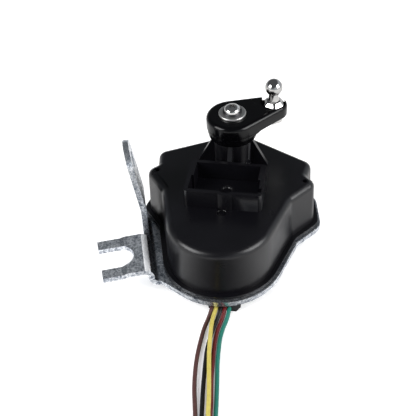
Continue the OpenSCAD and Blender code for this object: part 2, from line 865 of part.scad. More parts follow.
// A curved slot with round ends that reaches half_angle to each side of the +y direction
function stop_slot_outline(half_angle) =
    let (first = 90 - half_angle, last = 90 + half_angle,
         first_end = stop_orbit * [cos(first), sin(first)],
         last_end = stop_orbit * [cos(last), sin(last)])
    concat(arc([0, 0], stop_orbit + stop_slot, first, last, 20),
           arc(last_end, stop_slot, last, last + 180, 8),
           arc([0, 0], stop_orbit - stop_slot, last, first, 20),
           arc(first_end, stop_slot, first + 180, first + 360, 8));

module output_gear() {
    color("#e8e4da") at_output() difference() {
        union() {
            translate([0, 0, output_z]) rotate(output_line + 180 + 180 / output_teeth)
                gear(output_teeth, wheel_addendum, wheel_dedendum, output_thickness);
            translate([0, 0, output_z]) cylinder(r = 8, h = output_hub_top - output_z);
        }
        cylinder(r = shaft_radius + press_gap, h = ceiling);
        linear_extrude(ceiling) polygon(stop_slot_outline(swing + 1.5));
    }
}

flat_width = 7;
shaft_top = crank_top - 1.6;
thread_radius = 2.1;
thread_depth = 12;
module shaft_flats(grow, height) {
    intersection() {
        cylinder(r = shaft_radius - 0.4 + grow, h = height);
        translate([-shaft_radius, -flat_width / 2 - grow, 0])
            cube([2 * shaft_radius, flat_width + 2 * grow, height]);
    }
}

module output_shaft() {
    color("#c9ccd0") at_output() difference() {
        union() {
            translate([0, 0, can_height - 1]) cylinder(r = journal_radius, h = output_z - can_height + 2);
            translate([0, 0, output_z]) cylinder(r = shaft_radius, h = crank_z - output_z);
            rotate(crank_angle) translate([0, 0, crank_z - 1])
                shaft_flats(0, shaft_top - crank_z + 1);
        }
        translate([0, 0, shaft_top - thread_depth]) cylinder(r = thread_radius, h = thread_depth + cut);
    }
}

module thrust_washer() {
    color("#b08d57") at_output() translate([0, 0, output_hub_top])
        ring(8, shaft_radius + running_gap, washer_thickness);
}

module carrier_bush() {
    color("#b08d57") at_output() translate([0, 0, can_height - 1.4])
        ring(carrier_bush_radius, journal_radius + running_gap, carrier_thickness + 1.4);
}

module boss_bush(z, height) {
    color("#b08d57") at_output() translate([0, 0, z])
        ring(boss_bore - press_gap, shaft_radius + running_gap, height);
}
module boss_bush_lower() { boss_bush(ceiling, 7); }
module boss_bush_upper() { boss_bush(boss_top - seal_recess - 6, 6); }

module shaft_seal() {
    color("#2b2422") at_output() translate([0, 0, boss_top - seal_recess])
        ring(seal_radius - press_gap, shaft_radius + running_gap, seal_recess - 0.1);
}

// Crank arm and its fittings, built along +x and turned to the rest angle

crank_edge = 2;
shelf_start = 17;
stud_shank = 3;
stud_flange = 5;

module crank_underside() {
    depth = 4 * hub_radius;
    bottom = hub_radius - hub_taper + 0.6;
    rise = tip_z - crank_z;
    translate([bottom + rise, depth / 2, crank_z]) rotate([90, 0, 0])
        cylinder(r = rise, h = depth);
    translate([bottom + rise, -depth / 2, crank_z - cut])
        cube([2 * crank_length, depth, rise + cut]);
    translate([bottom, -depth / 2, crank_z - cut]) cube([2 * rise, depth, cut]);
}

module crank_shelf() {
    translate([0, 0, shelf_z]) linear_extrude(shelf_depth + cut) intersection() {
        union() {
            polygon(outline(CRANK_CHAIN, shelf_rim));
            translate([crank_length, 0]) circle(stud_hexagon / sqrt(3) + fit_gap);
            translate([0, 2 * hub_radius]) square(4 * hub_radius, center = true);
        }
        translate([shelf_start, -2 * hub_radius]) square([4 * crank_length, 4 * hub_radius]);
    }
}

module crank_arm() {
    color("#15161a") at_crank() difference() {
        loft(CRANK_CHAIN, concat([[crank_z, hub_taper], [crank_top - crank_edge, 0]],
                                 round_edge(crank_top, 0, crank_edge, 4)));
        crank_underside();
        crank_shelf();
        translate([0, 0, crank_z - cut]) shaft_flats(press_gap, shaft_top - crank_z + cut);
        translate([0, 0, crank_z]) cylinder(r = thread_radius + 0.4, h = crank_height + cut);
        translate([crank_length, 0, tip_z - cut])
            cylinder(r = stud_shank + press_gap, h = tip_thickness + 2 * cut);
        translate([shelf_start - 2.2, 3.4, crank_top - 0.4]) cylinder(r = 0.8, h = 1, $fn = 16);
    }
}

washer_height = 1.4;
spring_height = 1.1;
head_radius = 4.6;
head_height = 3.2;
dome_height = 1.8;
cross_slot = [5, 1.1, 2.2];
module crank_washer() {
    color("#c9ccd0") at_output() translate([0, 0, crank_top])
        ring(washer_radius, thread_radius + 0.4, washer_height);
}

module spring_washer() {
    color("#b4b8bd") at_crank() translate([0, 0, crank_top + washer_height])
        rotate(20) rotate_extrude(angle = 345)
            translate([thread_radius + 0.4, 0]) square([2.9, spring_height]);
}

module crank_screw() {
    head_z = crank_top + washer_height + spring_height;
    dome = (head_radius * head_radius + dome_height * dome_height) / (2 * dome_height);
    color("#d6d9dc") at_crank() difference() {
        union() {
            translate([0, 0, head_z]) cylinder(r = head_radius, h = head_height - dome_height);
            intersection() {
                translate([0, 0, head_z + head_height - dome]) sphere(dome);
                translate([0, 0, head_z + 1]) cylinder(r = head_radius, h = head_height);
            }
            translate([0, 0, shaft_top - thread_depth + 2])
                cylinder(r = thread_radius - fit_gap, h = head_z - shaft_top + thread_depth - 2 + cut);
        }
        for (turn = [0, 90]) rotate(turn + 12)
            translate([-cross_slot[0] / 2, -cross_slot[1] / 2,
                       head_z + head_height - cross_slot[2]])
                cube([cross_slot[0], cross_slot[1], cross_slot[2] + cut]);
    }
}

module ball_stud() {
    neck = 2.7;
    ball_z = shelf_z + ball_height;
    color("#d6d9dc") at_crank() translate([crank_length, 0, 0]) {
        translate([0, 0, shelf_z]) intersection() {
            hexagon(stud_hexagon, stud_flange);
            rotate_extrude() polygon([[0, 0], [stud_hexagon / 2 + 0.1, 0],
                [stud_hexagon / sqrt(3), 0.8], [stud_hexagon / sqrt(3), stud_flange - 0.8],
                [stud_hexagon / 2 + 0.1, stud_flange], [0, stud_flange]]);
        }
        rotate_extrude() polygon([[0, shelf_z + 1], [stud_hexagon / 2 - 1, shelf_z + stud_flange],
            [neck, shelf_z + stud_flange + 1.2], [neck, ball_z - 2], [0, ball_z - 2]]);
        translate([0, 0, ball_z]) sphere(ball_radius);
        translate([0, 0, tip_z - nut_height - 0.6])
            cylinder(r = stud_shank, h = shelf_z - tip_z + nut_height + 0.6 + cut);
    }
}

nut_height = 4;
module stud_nut() {
    color("#c9ccd0") at_crank() translate([crank_length, 0, tip_z - nut_height]) difference() {
        hexagon(10, nut_height);
        translate([0, 0, -cut]) cylinder(r = stud_shank + press_gap, h = nut_height + 2 * cut);
    }
}

// Leads: five free wires from the gland to a small plug, lying on the resting surface.
// lie is the height of a lead's middle where it lies, and each route is chosen by hand.

lie = -6.9;
exit_z = -5.6;
plug_z = -4.5;
BROWN_ROUTE = [[-0.5, -32, exit_z], [-0.8, -35, -5.9], [-1.5, -40, -6.7], [-2.5, -46, lie],
    [-2.9, -52, lie], [-3.1, -60, lie], [-2.9, -68, lie], [-2.2, -76, lie], [-1.1, -84, lie],
    [0.5, -92, lie], [2.2, -100, lie], [4.6, -112, lie], [7, -126, lie], [8.6, -142, lie],
    [9, -158, -6], [9, -172, plug_z]];
YELLOW_ROUTE = [[1.8, -32, exit_z], [1.5, -35, -5.5], [1.1, -40, -5.2], [1.2, -46, -4.6],
    [1.7, -52, -4.4], [2.5, -60, -4.7], [3.6, -68, -4.9], [4.9, -76, -4.8], [6.2, -84, -4.6],
    [7.4, -92, -4.6], [8.4, -100, -4.7], [10.2, -112, -5.8], [12.8, -126, lie],
    [14.6, -142, lie], [15, -158, -6], [15, -172, plug_z]];
BLACK_ROUTE = [[4.1, -32, exit_z], [3.9, -35, -6], [3.1, -40, -6.8], [2.2, -46, lie],
    [1.6, -52, lie], [1.2, -60, lie], [1.7, -68, lie], [2.4, -76, lie], [3.2, -84, lie],
    [4.2, -92, lie], [5.3, -100, lie], [7.6, -112, lie], [10, -126, lie], [11.6, -142, lie],
    [12, -158, -6], [12, -172, plug_z]];
RED_ROUTE = [[6.4, -32, exit_z], [6.2, -35, -5.9], [5.6, -40, -6.7], [4.6, -46, lie],
    [4.3, -52, lie], [4.7, -60, lie], [5.4, -68, lie], [6.1, -76, lie], [7.2, -84, lie],
    [8.4, -92, lie], [9.4, -100, lie], [12.6, -112, lie], [15.6, -126, lie],
    [17.6, -142, lie], [18, -158, -6], [18, -172, plug_z]];
GREEN_ROUTE = [[8.7, -32, exit_z], [8.6, -35, -5.9], [8.1, -40, -6.7], [7.1, -46, lie],
    [6.7, -52, lie], [7.1, -60, lie], [7.8, -68, lie], [8.9, -76, lie], [10, -84, lie],
    [11, -92, lie], [12, -100, lie], [15.1, -112, lie], [18.4, -126, lie],
    [20.6, -142, lie], [21, -158, -6], [21, -172, plug_z]];
LEAD_SIDES = 8;

function unit(v) = v / norm(v);
function route_direction(route, i) =
    unit(route[min(i + 1, len(route) - 1)] - route[max(i - 1, 0)]);
function route_ring(route, i) =
    let (ahead = i == 0 || i == len(route) - 1 ? [0, -1, 0] : route_direction(route, i),
         side = unit(cross(ahead, [0, 0, 1])), up = cross(side, ahead))
    [for (k = [0 : LEAD_SIDES - 1])
        let (a = 360 * (k + 0.5) / LEAD_SIDES)
        route[i] + lead_radius * (cos(a) * side + sin(a) * up)];

module lead(route) {
    rings = len(route);
    points = [for (i = [0 : rings - 1]) each route_ring(route, i)];
    sides = [for (j = [0 : rings - 2]) for (k = [0 : LEAD_SIDES - 1])
        [j * LEAD_SIDES + k, j * LEAD_SIDES + (k + 1) % LEAD_SIDES,
         (j + 1) * LEAD_SIDES + (k + 1) % LEAD_SIDES, (j + 1) * LEAD_SIDES + k]];
    start = [for (k = [0 : LEAD_SIDES - 1]) LEAD_SIDES - 1 - k];
    end = [for (k = [0 : LEAD_SIDES - 1]) (rings - 1) * LEAD_SIDES + k];
    polyhedron(points, concat([start], sides, [end]));
}

module lead_brown() { color("#5c3a38") lead(BROWN_ROUTE); }
module lead_yellow() { color("#d6c95e") lead(YELLOW_ROUTE); }
module lead_black() { color("#17181b") lead(BLACK_ROUTE); }
module lead_red() { color("#7a1f1f") lead(RED_ROUTE); }
module lead_green() { color("#1f7a6b") lead(GREEN_ROUTE); }

plug_x = 15;
plug_back = -172;
plug_length = 24;
plug_width = 18;
plug_height = 7;
plug_pitch = 3;
terminal_radius = 0.8;
latch = [6, 17, 1.4];
module plug_housing() {
    foot = -sheet - foot_height;
    color("#e4e2dc") difference() {
        union() {
            translate([plug_x, plug_back, foot]) rotate([90, 0, 0]) linear_extrude(plug_length)
                translate([0, plug_height / 2]) rounded_rectangle(plug_width, plug_height, 1);
            translate([plug_x - latch[0] / 2, plug_back - plug_length + 4,
                       foot + plug_height - 0.2])
                cube(latch);
        }
        for (i = [-2 : 2])
            translate([plug_x + i * plug_pitch, plug_back - plug_length - cut, plug_z])
                rotate([-90, 0, 0]) cylinder(r = terminal_radius + fit_gap, h = plug_length - 4);
    }
}

module plug_terminals() {
    color("#c8a24a") for (i = [-2 : 2])
        translate([plug_x + i * plug_pitch, plug_back - plug_length + 1, plug_z])
            rotate([-90, 0, 0]) difference() {
                cylinder(r = terminal_radius, h = plug_length - 6, $fn = 24);
                translate([0, 0, -cut]) cylinder(r = terminal_radius - 0.3, h = 6, $fn = 24);
            }
}

seat() housing();
seat() gasket();
seat() bracket();
seat() lead_gland();
seat() case_screws();
seat() motor_can();
seat() outer_pole_lower();
seat() inner_pole_lower();
seat() inner_pole_upper();
seat() outer_pole_upper();
seat() bobbin_lower();
seat() bobbin_upper();
seat() winding_lower();
seat() winding_upper();
seat() terminal_block();
seat() rotor_magnet();
seat() rotor_shaft();
seat() rotor_pinion();
seat() rotor_bush_lower();
seat() rotor_bush_upper();
seat() gear_carrier();
seat() carrier_posts();
seat() carrier_screws();
seat() stop_pin();
seat() idler_pin();
seat() idler_gear();
seat() output_gear();
seat() output_shaft();
seat() thrust_washer();
seat() carrier_bush();
seat() boss_bush_lower();
seat() boss_bush_upper();
seat() shaft_seal();
seat() crank_arm();
seat() crank_washer();
seat() spring_washer();
seat() crank_screw();
seat() ball_stud();
seat() stud_nut();
seat() lead_brown();
seat() lead_yellow();
seat() lead_black();
seat() lead_red();
seat() lead_green();
seat() plug_housing();
seat() plug_terminals();
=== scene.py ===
"""Geared stepper motor actuator: satin black housing, zinc bracket, crank with a ball stud."""
import math

import bmesh
import bpy
from mathutils import Matrix, Vector


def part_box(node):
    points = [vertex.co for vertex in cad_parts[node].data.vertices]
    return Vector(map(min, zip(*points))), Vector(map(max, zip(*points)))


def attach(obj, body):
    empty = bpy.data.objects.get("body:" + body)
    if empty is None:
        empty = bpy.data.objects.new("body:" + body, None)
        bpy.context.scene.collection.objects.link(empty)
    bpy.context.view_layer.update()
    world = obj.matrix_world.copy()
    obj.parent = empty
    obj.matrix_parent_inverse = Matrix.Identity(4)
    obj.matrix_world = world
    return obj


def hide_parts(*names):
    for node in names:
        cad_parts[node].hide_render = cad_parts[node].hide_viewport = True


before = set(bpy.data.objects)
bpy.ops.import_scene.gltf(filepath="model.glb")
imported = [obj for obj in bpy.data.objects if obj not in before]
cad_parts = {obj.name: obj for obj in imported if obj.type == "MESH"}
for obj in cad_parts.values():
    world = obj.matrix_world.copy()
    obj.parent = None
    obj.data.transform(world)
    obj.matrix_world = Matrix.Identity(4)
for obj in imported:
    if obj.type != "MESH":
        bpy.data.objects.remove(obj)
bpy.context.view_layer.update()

bl_info = {
    "name": "Geared Stepper Actuator",
    "version": (1, 0, 0),
    "blender": (4, 5, 0),
    "location": "3D View > Sidebar > Actuator",
    "description": "Dresses the solids of a geared stepper motor actuator",
    "category": "Object",
}

MM = 0.001
CAN_LOW, CAN_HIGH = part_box("motor_can")
ROTOR_X = (CAN_LOW.x + CAN_HIGH.x) / 2
ROTOR_Y = (CAN_LOW.y + CAN_HIGH.y) / 2
PLATE_TOP = CAN_LOW.z
FIXED_BODY = "base"
CRANK_BODY = "crank"


def place(x, y, z):
    """A point given in millimetres from the rotor axis and the plate's top."""
    return Vector((ROTOR_X + x * MM, ROTOR_Y + y * MM, PLATE_TOP + z * MM))


# Settings


class ActuatorColours(bpy.types.PropertyGroup):
    """Colours of the visible finishes."""

    housing: bpy.props.FloatVectorProperty(
        name="Housing", description="Moulded plastic of the housing and the crank",
        subtype="COLOR", size=3, min=0, max=1, default=(0.0022, 0.0021, 0.0031))
    zinc: bpy.props.FloatVectorProperty(
        name="Zinc", description="Zinc coat of the folded bracket",
        subtype="COLOR", size=3, min=0, max=1, default=(0.93, 0.96, 1.0))
    zinc_shade: bpy.props.FloatVectorProperty(
        name="Zinc shade", description="Darker grains of the zinc coat",
        subtype="COLOR", size=3, min=0, max=1, default=(0.11, 0.135, 0.18))
    bright_steel: bpy.props.FloatVectorProperty(
        name="Bright steel", description="Steel of the stud, the nut, the screw and the washer",
        subtype="COLOR", size=3, min=0, max=1, default=(0.58, 0.57, 0.56))


class ActuatorSizes(bpy.types.PropertyGroup):
    """Sizes of the finishing touches."""

    housing_edge: bpy.props.FloatProperty(
        name="Moulded edge", description="Width of the housing's broken edges",
        subtype="DISTANCE", unit="LENGTH", min=0, max=0.001, default=0.00035)
    sheet_edge: bpy.props.FloatProperty(
        name="Sheet edge", description="Width of the rolled edges of the bracket and the gland",
        subtype="DISTANCE", unit="LENGTH", min=0, max=0.001, default=0.0004)
    crank_edge: bpy.props.FloatProperty(
        name="Crank edge", description="Width of the crank's broken edges",
        subtype="DISTANCE", unit="LENGTH", min=0, max=0.001, default=0.00025)
    small_edge: bpy.props.FloatProperty(
        name="Small edge", description="Width of the broken edges of screws and nuts",
        subtype="DISTANCE", unit="LENGTH", min=0, max=0.001, default=0.0003)
    hexagon_edge: bpy.props.FloatProperty(
        name="Hexagon edge", description="Width of the rounded edges of the stud's hexagon",
        subtype="DISTANCE", unit="LENGTH", min=0, max=0.002, default=0.0011)
    lead_diameter: bpy.props.FloatProperty(
        name="Lead diameter", description="Thickness of a lead over its insulation",
        subtype="DISTANCE", unit="LENGTH", min=0.001, max=0.003, default=0.0022)


def colours():
    """The scene's colour settings."""
    return bpy.context.scene.actuator_colours


def sizes():
    """The scene's size settings."""
    return bpy.context.scene.actuator_sizes


# Shader groups

FACTOR, COLOUR_A, COLOUR_B, COLOUR_RESULT = 0, 6, 7, 2  # a Mix node's sockets for colours


def start_group(name, inputs, outputs):
    """A new shader group with named sockets, and its input and output nodes."""
    tree = bpy.data.node_groups.new(name, "ShaderNodeTree")
    for label, kind, value in inputs:
        socket = tree.interface.new_socket(name=label, in_out="INPUT", socket_type=kind)
        socket.default_value = value
    for label, kind in outputs:
        tree.interface.new_socket(name=label, in_out="OUTPUT", socket_type=kind)
    return tree, tree.nodes.new("NodeGroupInput"), tree.nodes.new("NodeGroupOutput")


def object_millimetres(tree, stretch=(1, 1, 1)):
    """Object coordinates in millimetres, stretched per axis."""
    coordinate = tree.nodes.new("ShaderNodeTexCoord")
    mapping = tree.nodes.new("ShaderNodeMapping")
    mapping.inputs["Scale"].default_value = [1000 * s for s in stretch]
    tree.links.new(coordinate.outputs["Object"], mapping.inputs["Vector"])
    return mapping.outputs["Vector"]


def noise(tree, vector, scale, detail=3.0, roughness=0.55):
    """Noise between 0 and 1; the scale is a number or a socket."""
    node = tree.nodes.new("ShaderNodeTexNoise")
    node.inputs["Detail"].default_value = detail
    node.inputs["Roughness"].default_value = roughness
    tree.links.new(vector, node.inputs["Vector"])
    if hasattr(scale, "default_value"):
        tree.links.new(scale, node.inputs["Scale"])
    else:
        node.inputs["Scale"].default_value = scale
    return node.outputs["Fac"]


def remap(tree, value, low, high, to_low=0.0, to_high=1.0):
    """Stretches the values from low to high over another range."""
    node = tree.nodes.new("ShaderNodeMapRange")
    limits = {"From Min": low, "From Max": high, "To Min": to_low, "To Max": to_high}
    for label, number in limits.items():
        node.inputs[label].default_value = number
    tree.links.new(value, node.inputs["Value"])
    return node.outputs["Result"]


def combine(tree, operation, a, b):
    """A Math node on two values, each a number or a socket."""
    node = tree.nodes.new("ShaderNodeMath")
    node.operation = operation
    for socket, value in zip(node.inputs, (a, b)):
        if isinstance(value, (int, float)):
            socket.default_value = value
        else:
            tree.links.new(value, socket)
    return node.outputs[0]


def mix_colours(tree, factor, a, b):
    """Mixes two colours, each a tuple or a socket, by a number or a socket."""
    node = tree.nodes.new("ShaderNodeMix")
    node.data_type = "RGBA"
    for index, value in ((FACTOR, factor), (COLOUR_A, a), (COLOUR_B, b)):
        socket = node.inputs[index]
        if isinstance(value, (int, float)):
            socket.default_value = value
        elif isinstance(value, tuple):
            socket.default_value = (*value[:3], 1.0)
        else:
            tree.links.new(value, socket)
    return node.outputs[COLOUR_RESULT]


def moulded_grain_group():
    """Fine spark-eroded grain and slow patches of a satin moulding."""
    tree, given, made = start_group(
        "Moulded grain",
        [("Grain size", "NodeSocketFloat", 3.0), ("Patch strength", "NodeSocketFloat", 0.4)],
        [("Height", "NodeSocketFloat"), ("Patches", "NodeSocketFloat")])
    points = object_millimetres(tree)
    fine = noise(tree, points, given.outputs["Grain size"], 2.0)
    patches = remap(tree, noise(tree, points, 0.07, 3.0), 0.3, 0.7)
    tree.links.new(fine, made.inputs["Height"])
    tree.links.new(combine(tree, "MULTIPLY", patches, given.outputs["Patch strength"]),
                   made.inputs["Patches"])
    return tree


def zinc_grain_group():
    """Mottled crystals and clouds of a zinc coat, and drawn streaks of the sheet under it."""
    tree, given, made = start_group(
        "Zinc grain",
        [("Crystal scale", "NodeSocketFloat", 1.0), ("Contrast", "NodeSocketFloat", 1.0)],
        [("Shade", "NodeSocketFloat"), ("Height", "NodeSocketFloat"),
         ("Streaks", "NodeSocketFloat")])
    points = object_millimetres(tree)
    cells = tree.nodes.new("ShaderNodeTexVoronoi")
    cells.feature = "F1"
    tree.links.new(points, cells.inputs["Vector"])
    tree.links.new(given.outputs["Crystal scale"], cells.inputs["Scale"])
    tone = tree.nodes.new("ShaderNodeSeparateColor")
    tree.links.new(cells.outputs["Color"], tone.inputs["Color"])
    speckle = noise(tree, points, 0.95, 4.0, 0.65)
    cloud = noise(tree, points, 0.22, 3.0)
    flecks = remap(tree, speckle, 0.42, 0.58)
    mottle = combine(tree, "ADD", combine(tree, "MULTIPLY", tone.outputs["Red"], 0.35),
                     combine(tree, "MULTIPLY", flecks, 0.65))
    mottle = combine(tree, "ADD", mottle, remap(tree, cloud, 0.3, 0.7, -0.22, 0.22))
    streaks = noise(tree, object_millimetres(tree, (3.2, 3.2, 0.10)), 1.0, 3.0)
    shade = combine(tree, "MULTIPLY", mottle, given.outputs["Contrast"])
    tree.links.new(shade, made.inputs["Shade"])
    tree.links.new(speckle, made.inputs["Height"])
    tree.links.new(remap(tree, streaks, 0.35, 0.65), made.inputs["Streaks"])
    return tree


def worn_edge_and_highlight_group():
    """Marks the broken edges of a piece for rubbed wear and a painted edge highlight, with patchy
    gaps along them.
    """
    tree, given, made = start_group(
        "Worn edge and highlight", [("Amount", "NodeSocketFloat", 0.6)], [("Mask", "NodeSocketFloat")])
    edge = tree.nodes.new("ShaderNodeAttribute")
    edge.attribute_name = "edge"
    patchy = remap(tree, noise(tree, object_millimetres(tree), 0.35, 4.0), 0.42, 0.62)
    mask = combine(tree, "MULTIPLY", combine(tree, "MULTIPLY", edge.outputs["Fac"], patchy),
                   given.outputs["Amount"])
    tree.links.new(mask, made.inputs["Mask"])
    return tree


def turning_marks_group():
    """Fine rings round an upright axis, as a lathe leaves them."""
    tree, given, made = start_group(
        "Turning marks",
        [("Centre X", "NodeSocketFloat", 0.0), ("Centre Y", "NodeSocketFloat", 0.0),
         ("Rings per millimetre", "NodeSocketFloat", 6.0)],
        [("Height", "NodeSocketFloat"), ("Tone", "NodeSocketFloat")])
    coordinate = tree.nodes.new("ShaderNodeTexCoord")
    parts = tree.nodes.new("ShaderNodeSeparateXYZ")
    tree.links.new(coordinate.outputs["Object"], parts.inputs["Vector"])
    dx = combine(tree, "SUBTRACT", parts.outputs["X"], given.outputs["Centre X"])
    dy = combine(tree, "SUBTRACT", parts.outputs["Y"], given.outputs["Centre Y"])
    radius = combine(tree, "SQRT", combine(tree, "ADD", combine(tree, "MULTIPLY", dx, dx),
                                           combine(tree, "MULTIPLY", dy, dy)), 0)
    rings = combine(tree, "MULTIPLY", combine(tree, "MULTIPLY", radius, 1000),
                    given.outputs["Rings per millimetre"])
    level = combine(tree, "MULTIPLY", combine(tree, "MULTIPLY", parts.outputs["Z"], 1000),
                    given.outputs["Rings per millimetre"])
    point = tree.nodes.new("ShaderNodeCombineXYZ")
    tree.links.new(rings, point.inputs["X"])
    tree.links.new(level, point.inputs["Y"])
    marks = noise(tree, point.outputs["Vector"], 1.0, 2.0)
    tree.links.new(marks, made.inputs["Height"])
    tree.links.new(remap(tree, marks, 0.3, 0.7), made.inputs["Tone"])
    return tree


GROUPS = {}


def shared_group(name):
    """Each shader group is made once and placed in many materials."""
    makers = {"Moulded grain": moulded_grain_group, "Zinc grain": zinc_grain_group,
              "Worn edge and highlight": worn_edge_and_highlight_group, "Turning marks": turning_marks_group}
    if name not in GROUPS:
        GROUPS[name] = makers[name]()
    return GROUPS[name]


def place_group(tree, name, **values):
    """Puts a shared group into a material; underscores in a label stand for spaces."""
    node = tree.nodes.new("ShaderNodeGroup")
    node.node_tree = shared_group(name)
    for label, value in values.items():
        node.inputs[label.replace("_", " ")].default_value = value
    return node


# Finishes


def start_material(name):
    """A new material with its shader, both ready for links."""
    material = bpy.data.materials.new(name)
    material.use_nodes = True
    tree = material.node_tree
    return material, tree, tree.nodes["Principled BSDF"]


def bump(tree, shader, height, strength, distance_mm):
    """Roughens the shader's normal by a height."""
    node = tree.nodes.new("ShaderNodeBump")
    node.inputs["Strength"].default_value = strength
    node.inputs["Distance"].default_value = distance_mm * MM
    tree.links.new(height, node.inputs["Height"])
    tree.links.new(node.outputs["Normal"], shader.inputs["Normal"])


def moulding(name, colour, roughness=0.4, grain=3.0, rough_spread=0.1, level=0.5,
             bump_strength=0.2, wear_and_sheen_amount=0.3, lift=1.9):
    """Satin moulded plastic with grain, slow patches and rubbed edges, lightened as wear and as a
    painted edge highlight.
    """
    material, tree, shader = start_material(name)
    surface = place_group(tree, "Moulded grain", Grain_size=grain, Patch_strength=1.0)
    wear_and_sheen = place_group(tree, "Worn edge and highlight", Amount=wear_and_sheen_amount)
    pale = tuple(min(1.0, c * lift + 0.003) for c in colour)
    soft = tuple(min(1.0, c * 1.25) for c in colour)
    base = mix_colours(tree, surface.outputs["Patches"], tuple(colour), soft)
    # The broken edges are lightened both as rubbed wear and as a painted edge highlight.
    base = mix_colours(tree, wear_and_sheen.outputs["Mask"], base, pale)
    tree.links.new(base, shader.inputs["Base Color"])
    rough = remap(tree, surface.outputs["Patches"], 0, 1, roughness,
                  roughness + rough_spread)
    tree.links.new(combine(tree, "SUBTRACT", rough,
                           combine(tree, "MULTIPLY", wear_and_sheen.outputs["Mask"], 0.12)),
                   shader.inputs["Roughness"])
    shader.inputs["Specular IOR Level"].default_value = level
    bump(tree, shader, surface.outputs["Height"], bump_strength, 0.03)
    return material


def zinc(name, colour, shade, roughness=0.23, crystals=0.6, streaked=0.15, contrast=1.0):
    """Zinc-plated steel: mottled crystals, drawn streaks, dull marks painted pale as a highlight,
    and rubbed edges lightened as wear and as a painted edge highlight.
    """
    material, tree, shader = start_material(name)
    grain = place_group(tree, "Zinc grain", Crystal_scale=crystals, Contrast=contrast)
    wear_and_sheen = place_group(tree, "Worn edge and highlight", Amount=0.8)
    base = mix_colours(tree, grain.outputs["Shade"], tuple(shade), tuple(colour))
    streak = combine(tree, "MULTIPLY", grain.outputs["Streaks"], streaked)
    base = mix_colours(tree, streak, base, tuple(0.8 * c for c in colour))
    # Rubbed edges are lightened both as wear and as a painted edge highlight.
    base = mix_colours(tree, wear_and_sheen.outputs["Mask"], base, tuple(min(1, 1.2 * c) for c in colour))
    marks = tree.nodes.new("ShaderNodeAttribute")
    marks.attribute_name = "dull_and_highlight"
    dull_and_highlight = combine(tree, "MULTIPLY", marks.outputs["Fac"],
                   remap(tree, grain.outputs["Shade"], 0, 1, 0.75, 1.0))
    # Painted highlight: the dull mark pulls the colour towards white on the fold and lightens the
    # fork's top.
    base = mix_colours(tree, dull_and_highlight, base, (0.97, 0.98, 1.0))
    tree.links.new(base, shader.inputs["Base Color"])
    rough = remap(tree, grain.outputs["Shade"], 0, 1, roughness + 0.14, roughness)
    rough = combine(tree, "ADD", rough, combine(tree, "MULTIPLY", dull_and_highlight, 0.4))
    tree.links.new(rough, shader.inputs["Roughness"])
    tree.links.new(combine(tree, "SUBTRACT", 0.97, combine(tree, "MULTIPLY", dull_and_highlight, 0.77)),
                   shader.inputs["Metallic"])
    bump(tree, shader, grain.outputs["Height"], 0.5, 0.06)
    return material


def turned_metal(name, colour, centre, roughness=0.12, spread=0.1, rings=6.0, strength=0.1):
    """Turned metal with fine rings round the upright axis at a centre."""
    material, tree, shader = start_material(name)
    marks = place_group(tree, "Turning marks", Centre_X=centre[0], Centre_Y=centre[1],
                        Rings_per_millimetre=rings)
    wear_and_sheen = place_group(tree, "Worn edge and highlight", Amount=0.5)
    base = mix_colours(tree, marks.outputs["Tone"], tuple(0.88 * c for c in colour),
                       tuple(colour))
    # The broken edges are lightened both as rubbed wear and as a painted edge highlight.
    base = mix_colours(tree, wear_and_sheen.outputs["Mask"], base, tuple(min(1, 1.1 * c) for c in colour))
    tree.links.new(base, shader.inputs["Base Color"])
    tree.links.new(remap(tree, marks.outputs["Tone"], 0, 1, roughness + spread, roughness),
                   shader.inputs["Roughness"])
    shader.inputs["Metallic"].default_value = 1.0
    bump(tree, shader, marks.outputs["Height"], strength, 0.02)
    return material


def insulation(name, colour, roughness=0.36):
    """Extruded vinyl of a lead: faint draw lines and uneven gloss."""
    material, tree, shader = start_material(name)
    points = object_millimetres(tree)
    tone = remap(tree, noise(tree, points, 0.5, 3.0), 0.3, 0.7)
    base = mix_colours(tree, tone, tuple(0.82 * c for c in colour), tuple(colour))
    tree.links.new(base, shader.inputs["Base Color"])
    tree.links.new(remap(tree, noise(tree, points, 1.4, 3.0), 0.3, 0.7,
                         roughness, roughness + 0.14), shader.inputs["Roughness"])
    lines = noise(tree, object_millimetres(tree, (4, 0.3, 4)), 1.0, 2.0)
    bump(tree, shader, lines, 0.25, 0.04)
    return material


# Mesh helpers


def finish_mesh(label, shape, body, materials, stands_for=(), sharp=35.0):
    """Turns a bmesh into a piece that rides on its body, with even normals."""
    mesh = bpy.data.meshes.new(label)
    shape.to_mesh(mesh)
    shape.free()
    mesh.shade_smooth()
    mesh.set_sharp_from_angle(angle=math.radians(sharp))
    piece = bpy.data.objects.new(label, mesh)
    bpy.context.scene.collection.objects.link(piece)
    for material in materials:
        mesh.materials.append(material)
    even = piece.modifiers.new("Even normals", "WEIGHTED_NORMAL")
    even.keep_sharp = True
    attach(piece, body)
    if stands_for:
        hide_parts(*stands_for)
    return piece


def merged_copy(node):
    """A bmesh of a solid's own mesh, merged, with its flat faces joined."""
    shape = bmesh.new()
    shape.from_mesh(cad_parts[node].data)
    bmesh.ops.remove_doubles(shape, verts=shape.verts, dist=0.002 * MM)
    bmesh.ops.dissolve_limit(shape, angle_limit=math.radians(0.7), verts=shape.verts,
                             edges=shape.edges, use_dissolve_boundaries=False)
    return shape


def break_edges(shape, width, sharp=35.0, segments=2, shortest=0.25):
    """Rounds the sharp edges and marks the new faces on the layer named edge."""
    marks = shape.loops.layers.float.new("edge")
    chosen = [e for e in shape.edges
              if len(e.link_faces) == 2 and e.calc_length() > shortest * MM
              and e.calc_face_angle(0) > math.radians(sharp)]
    if not chosen or width <= 0:
        return
    made = bmesh.ops.bevel(shape, geom=chosen, offset=width, offset_type="OFFSET",
                           affect="EDGES", segments=segments, profile=0.5, material=-1,
                           clamp_overlap=True, loop_slide=True)
    for face in made["faces"]:
        for loop in face.loops:
            loop[marks] = 1.0


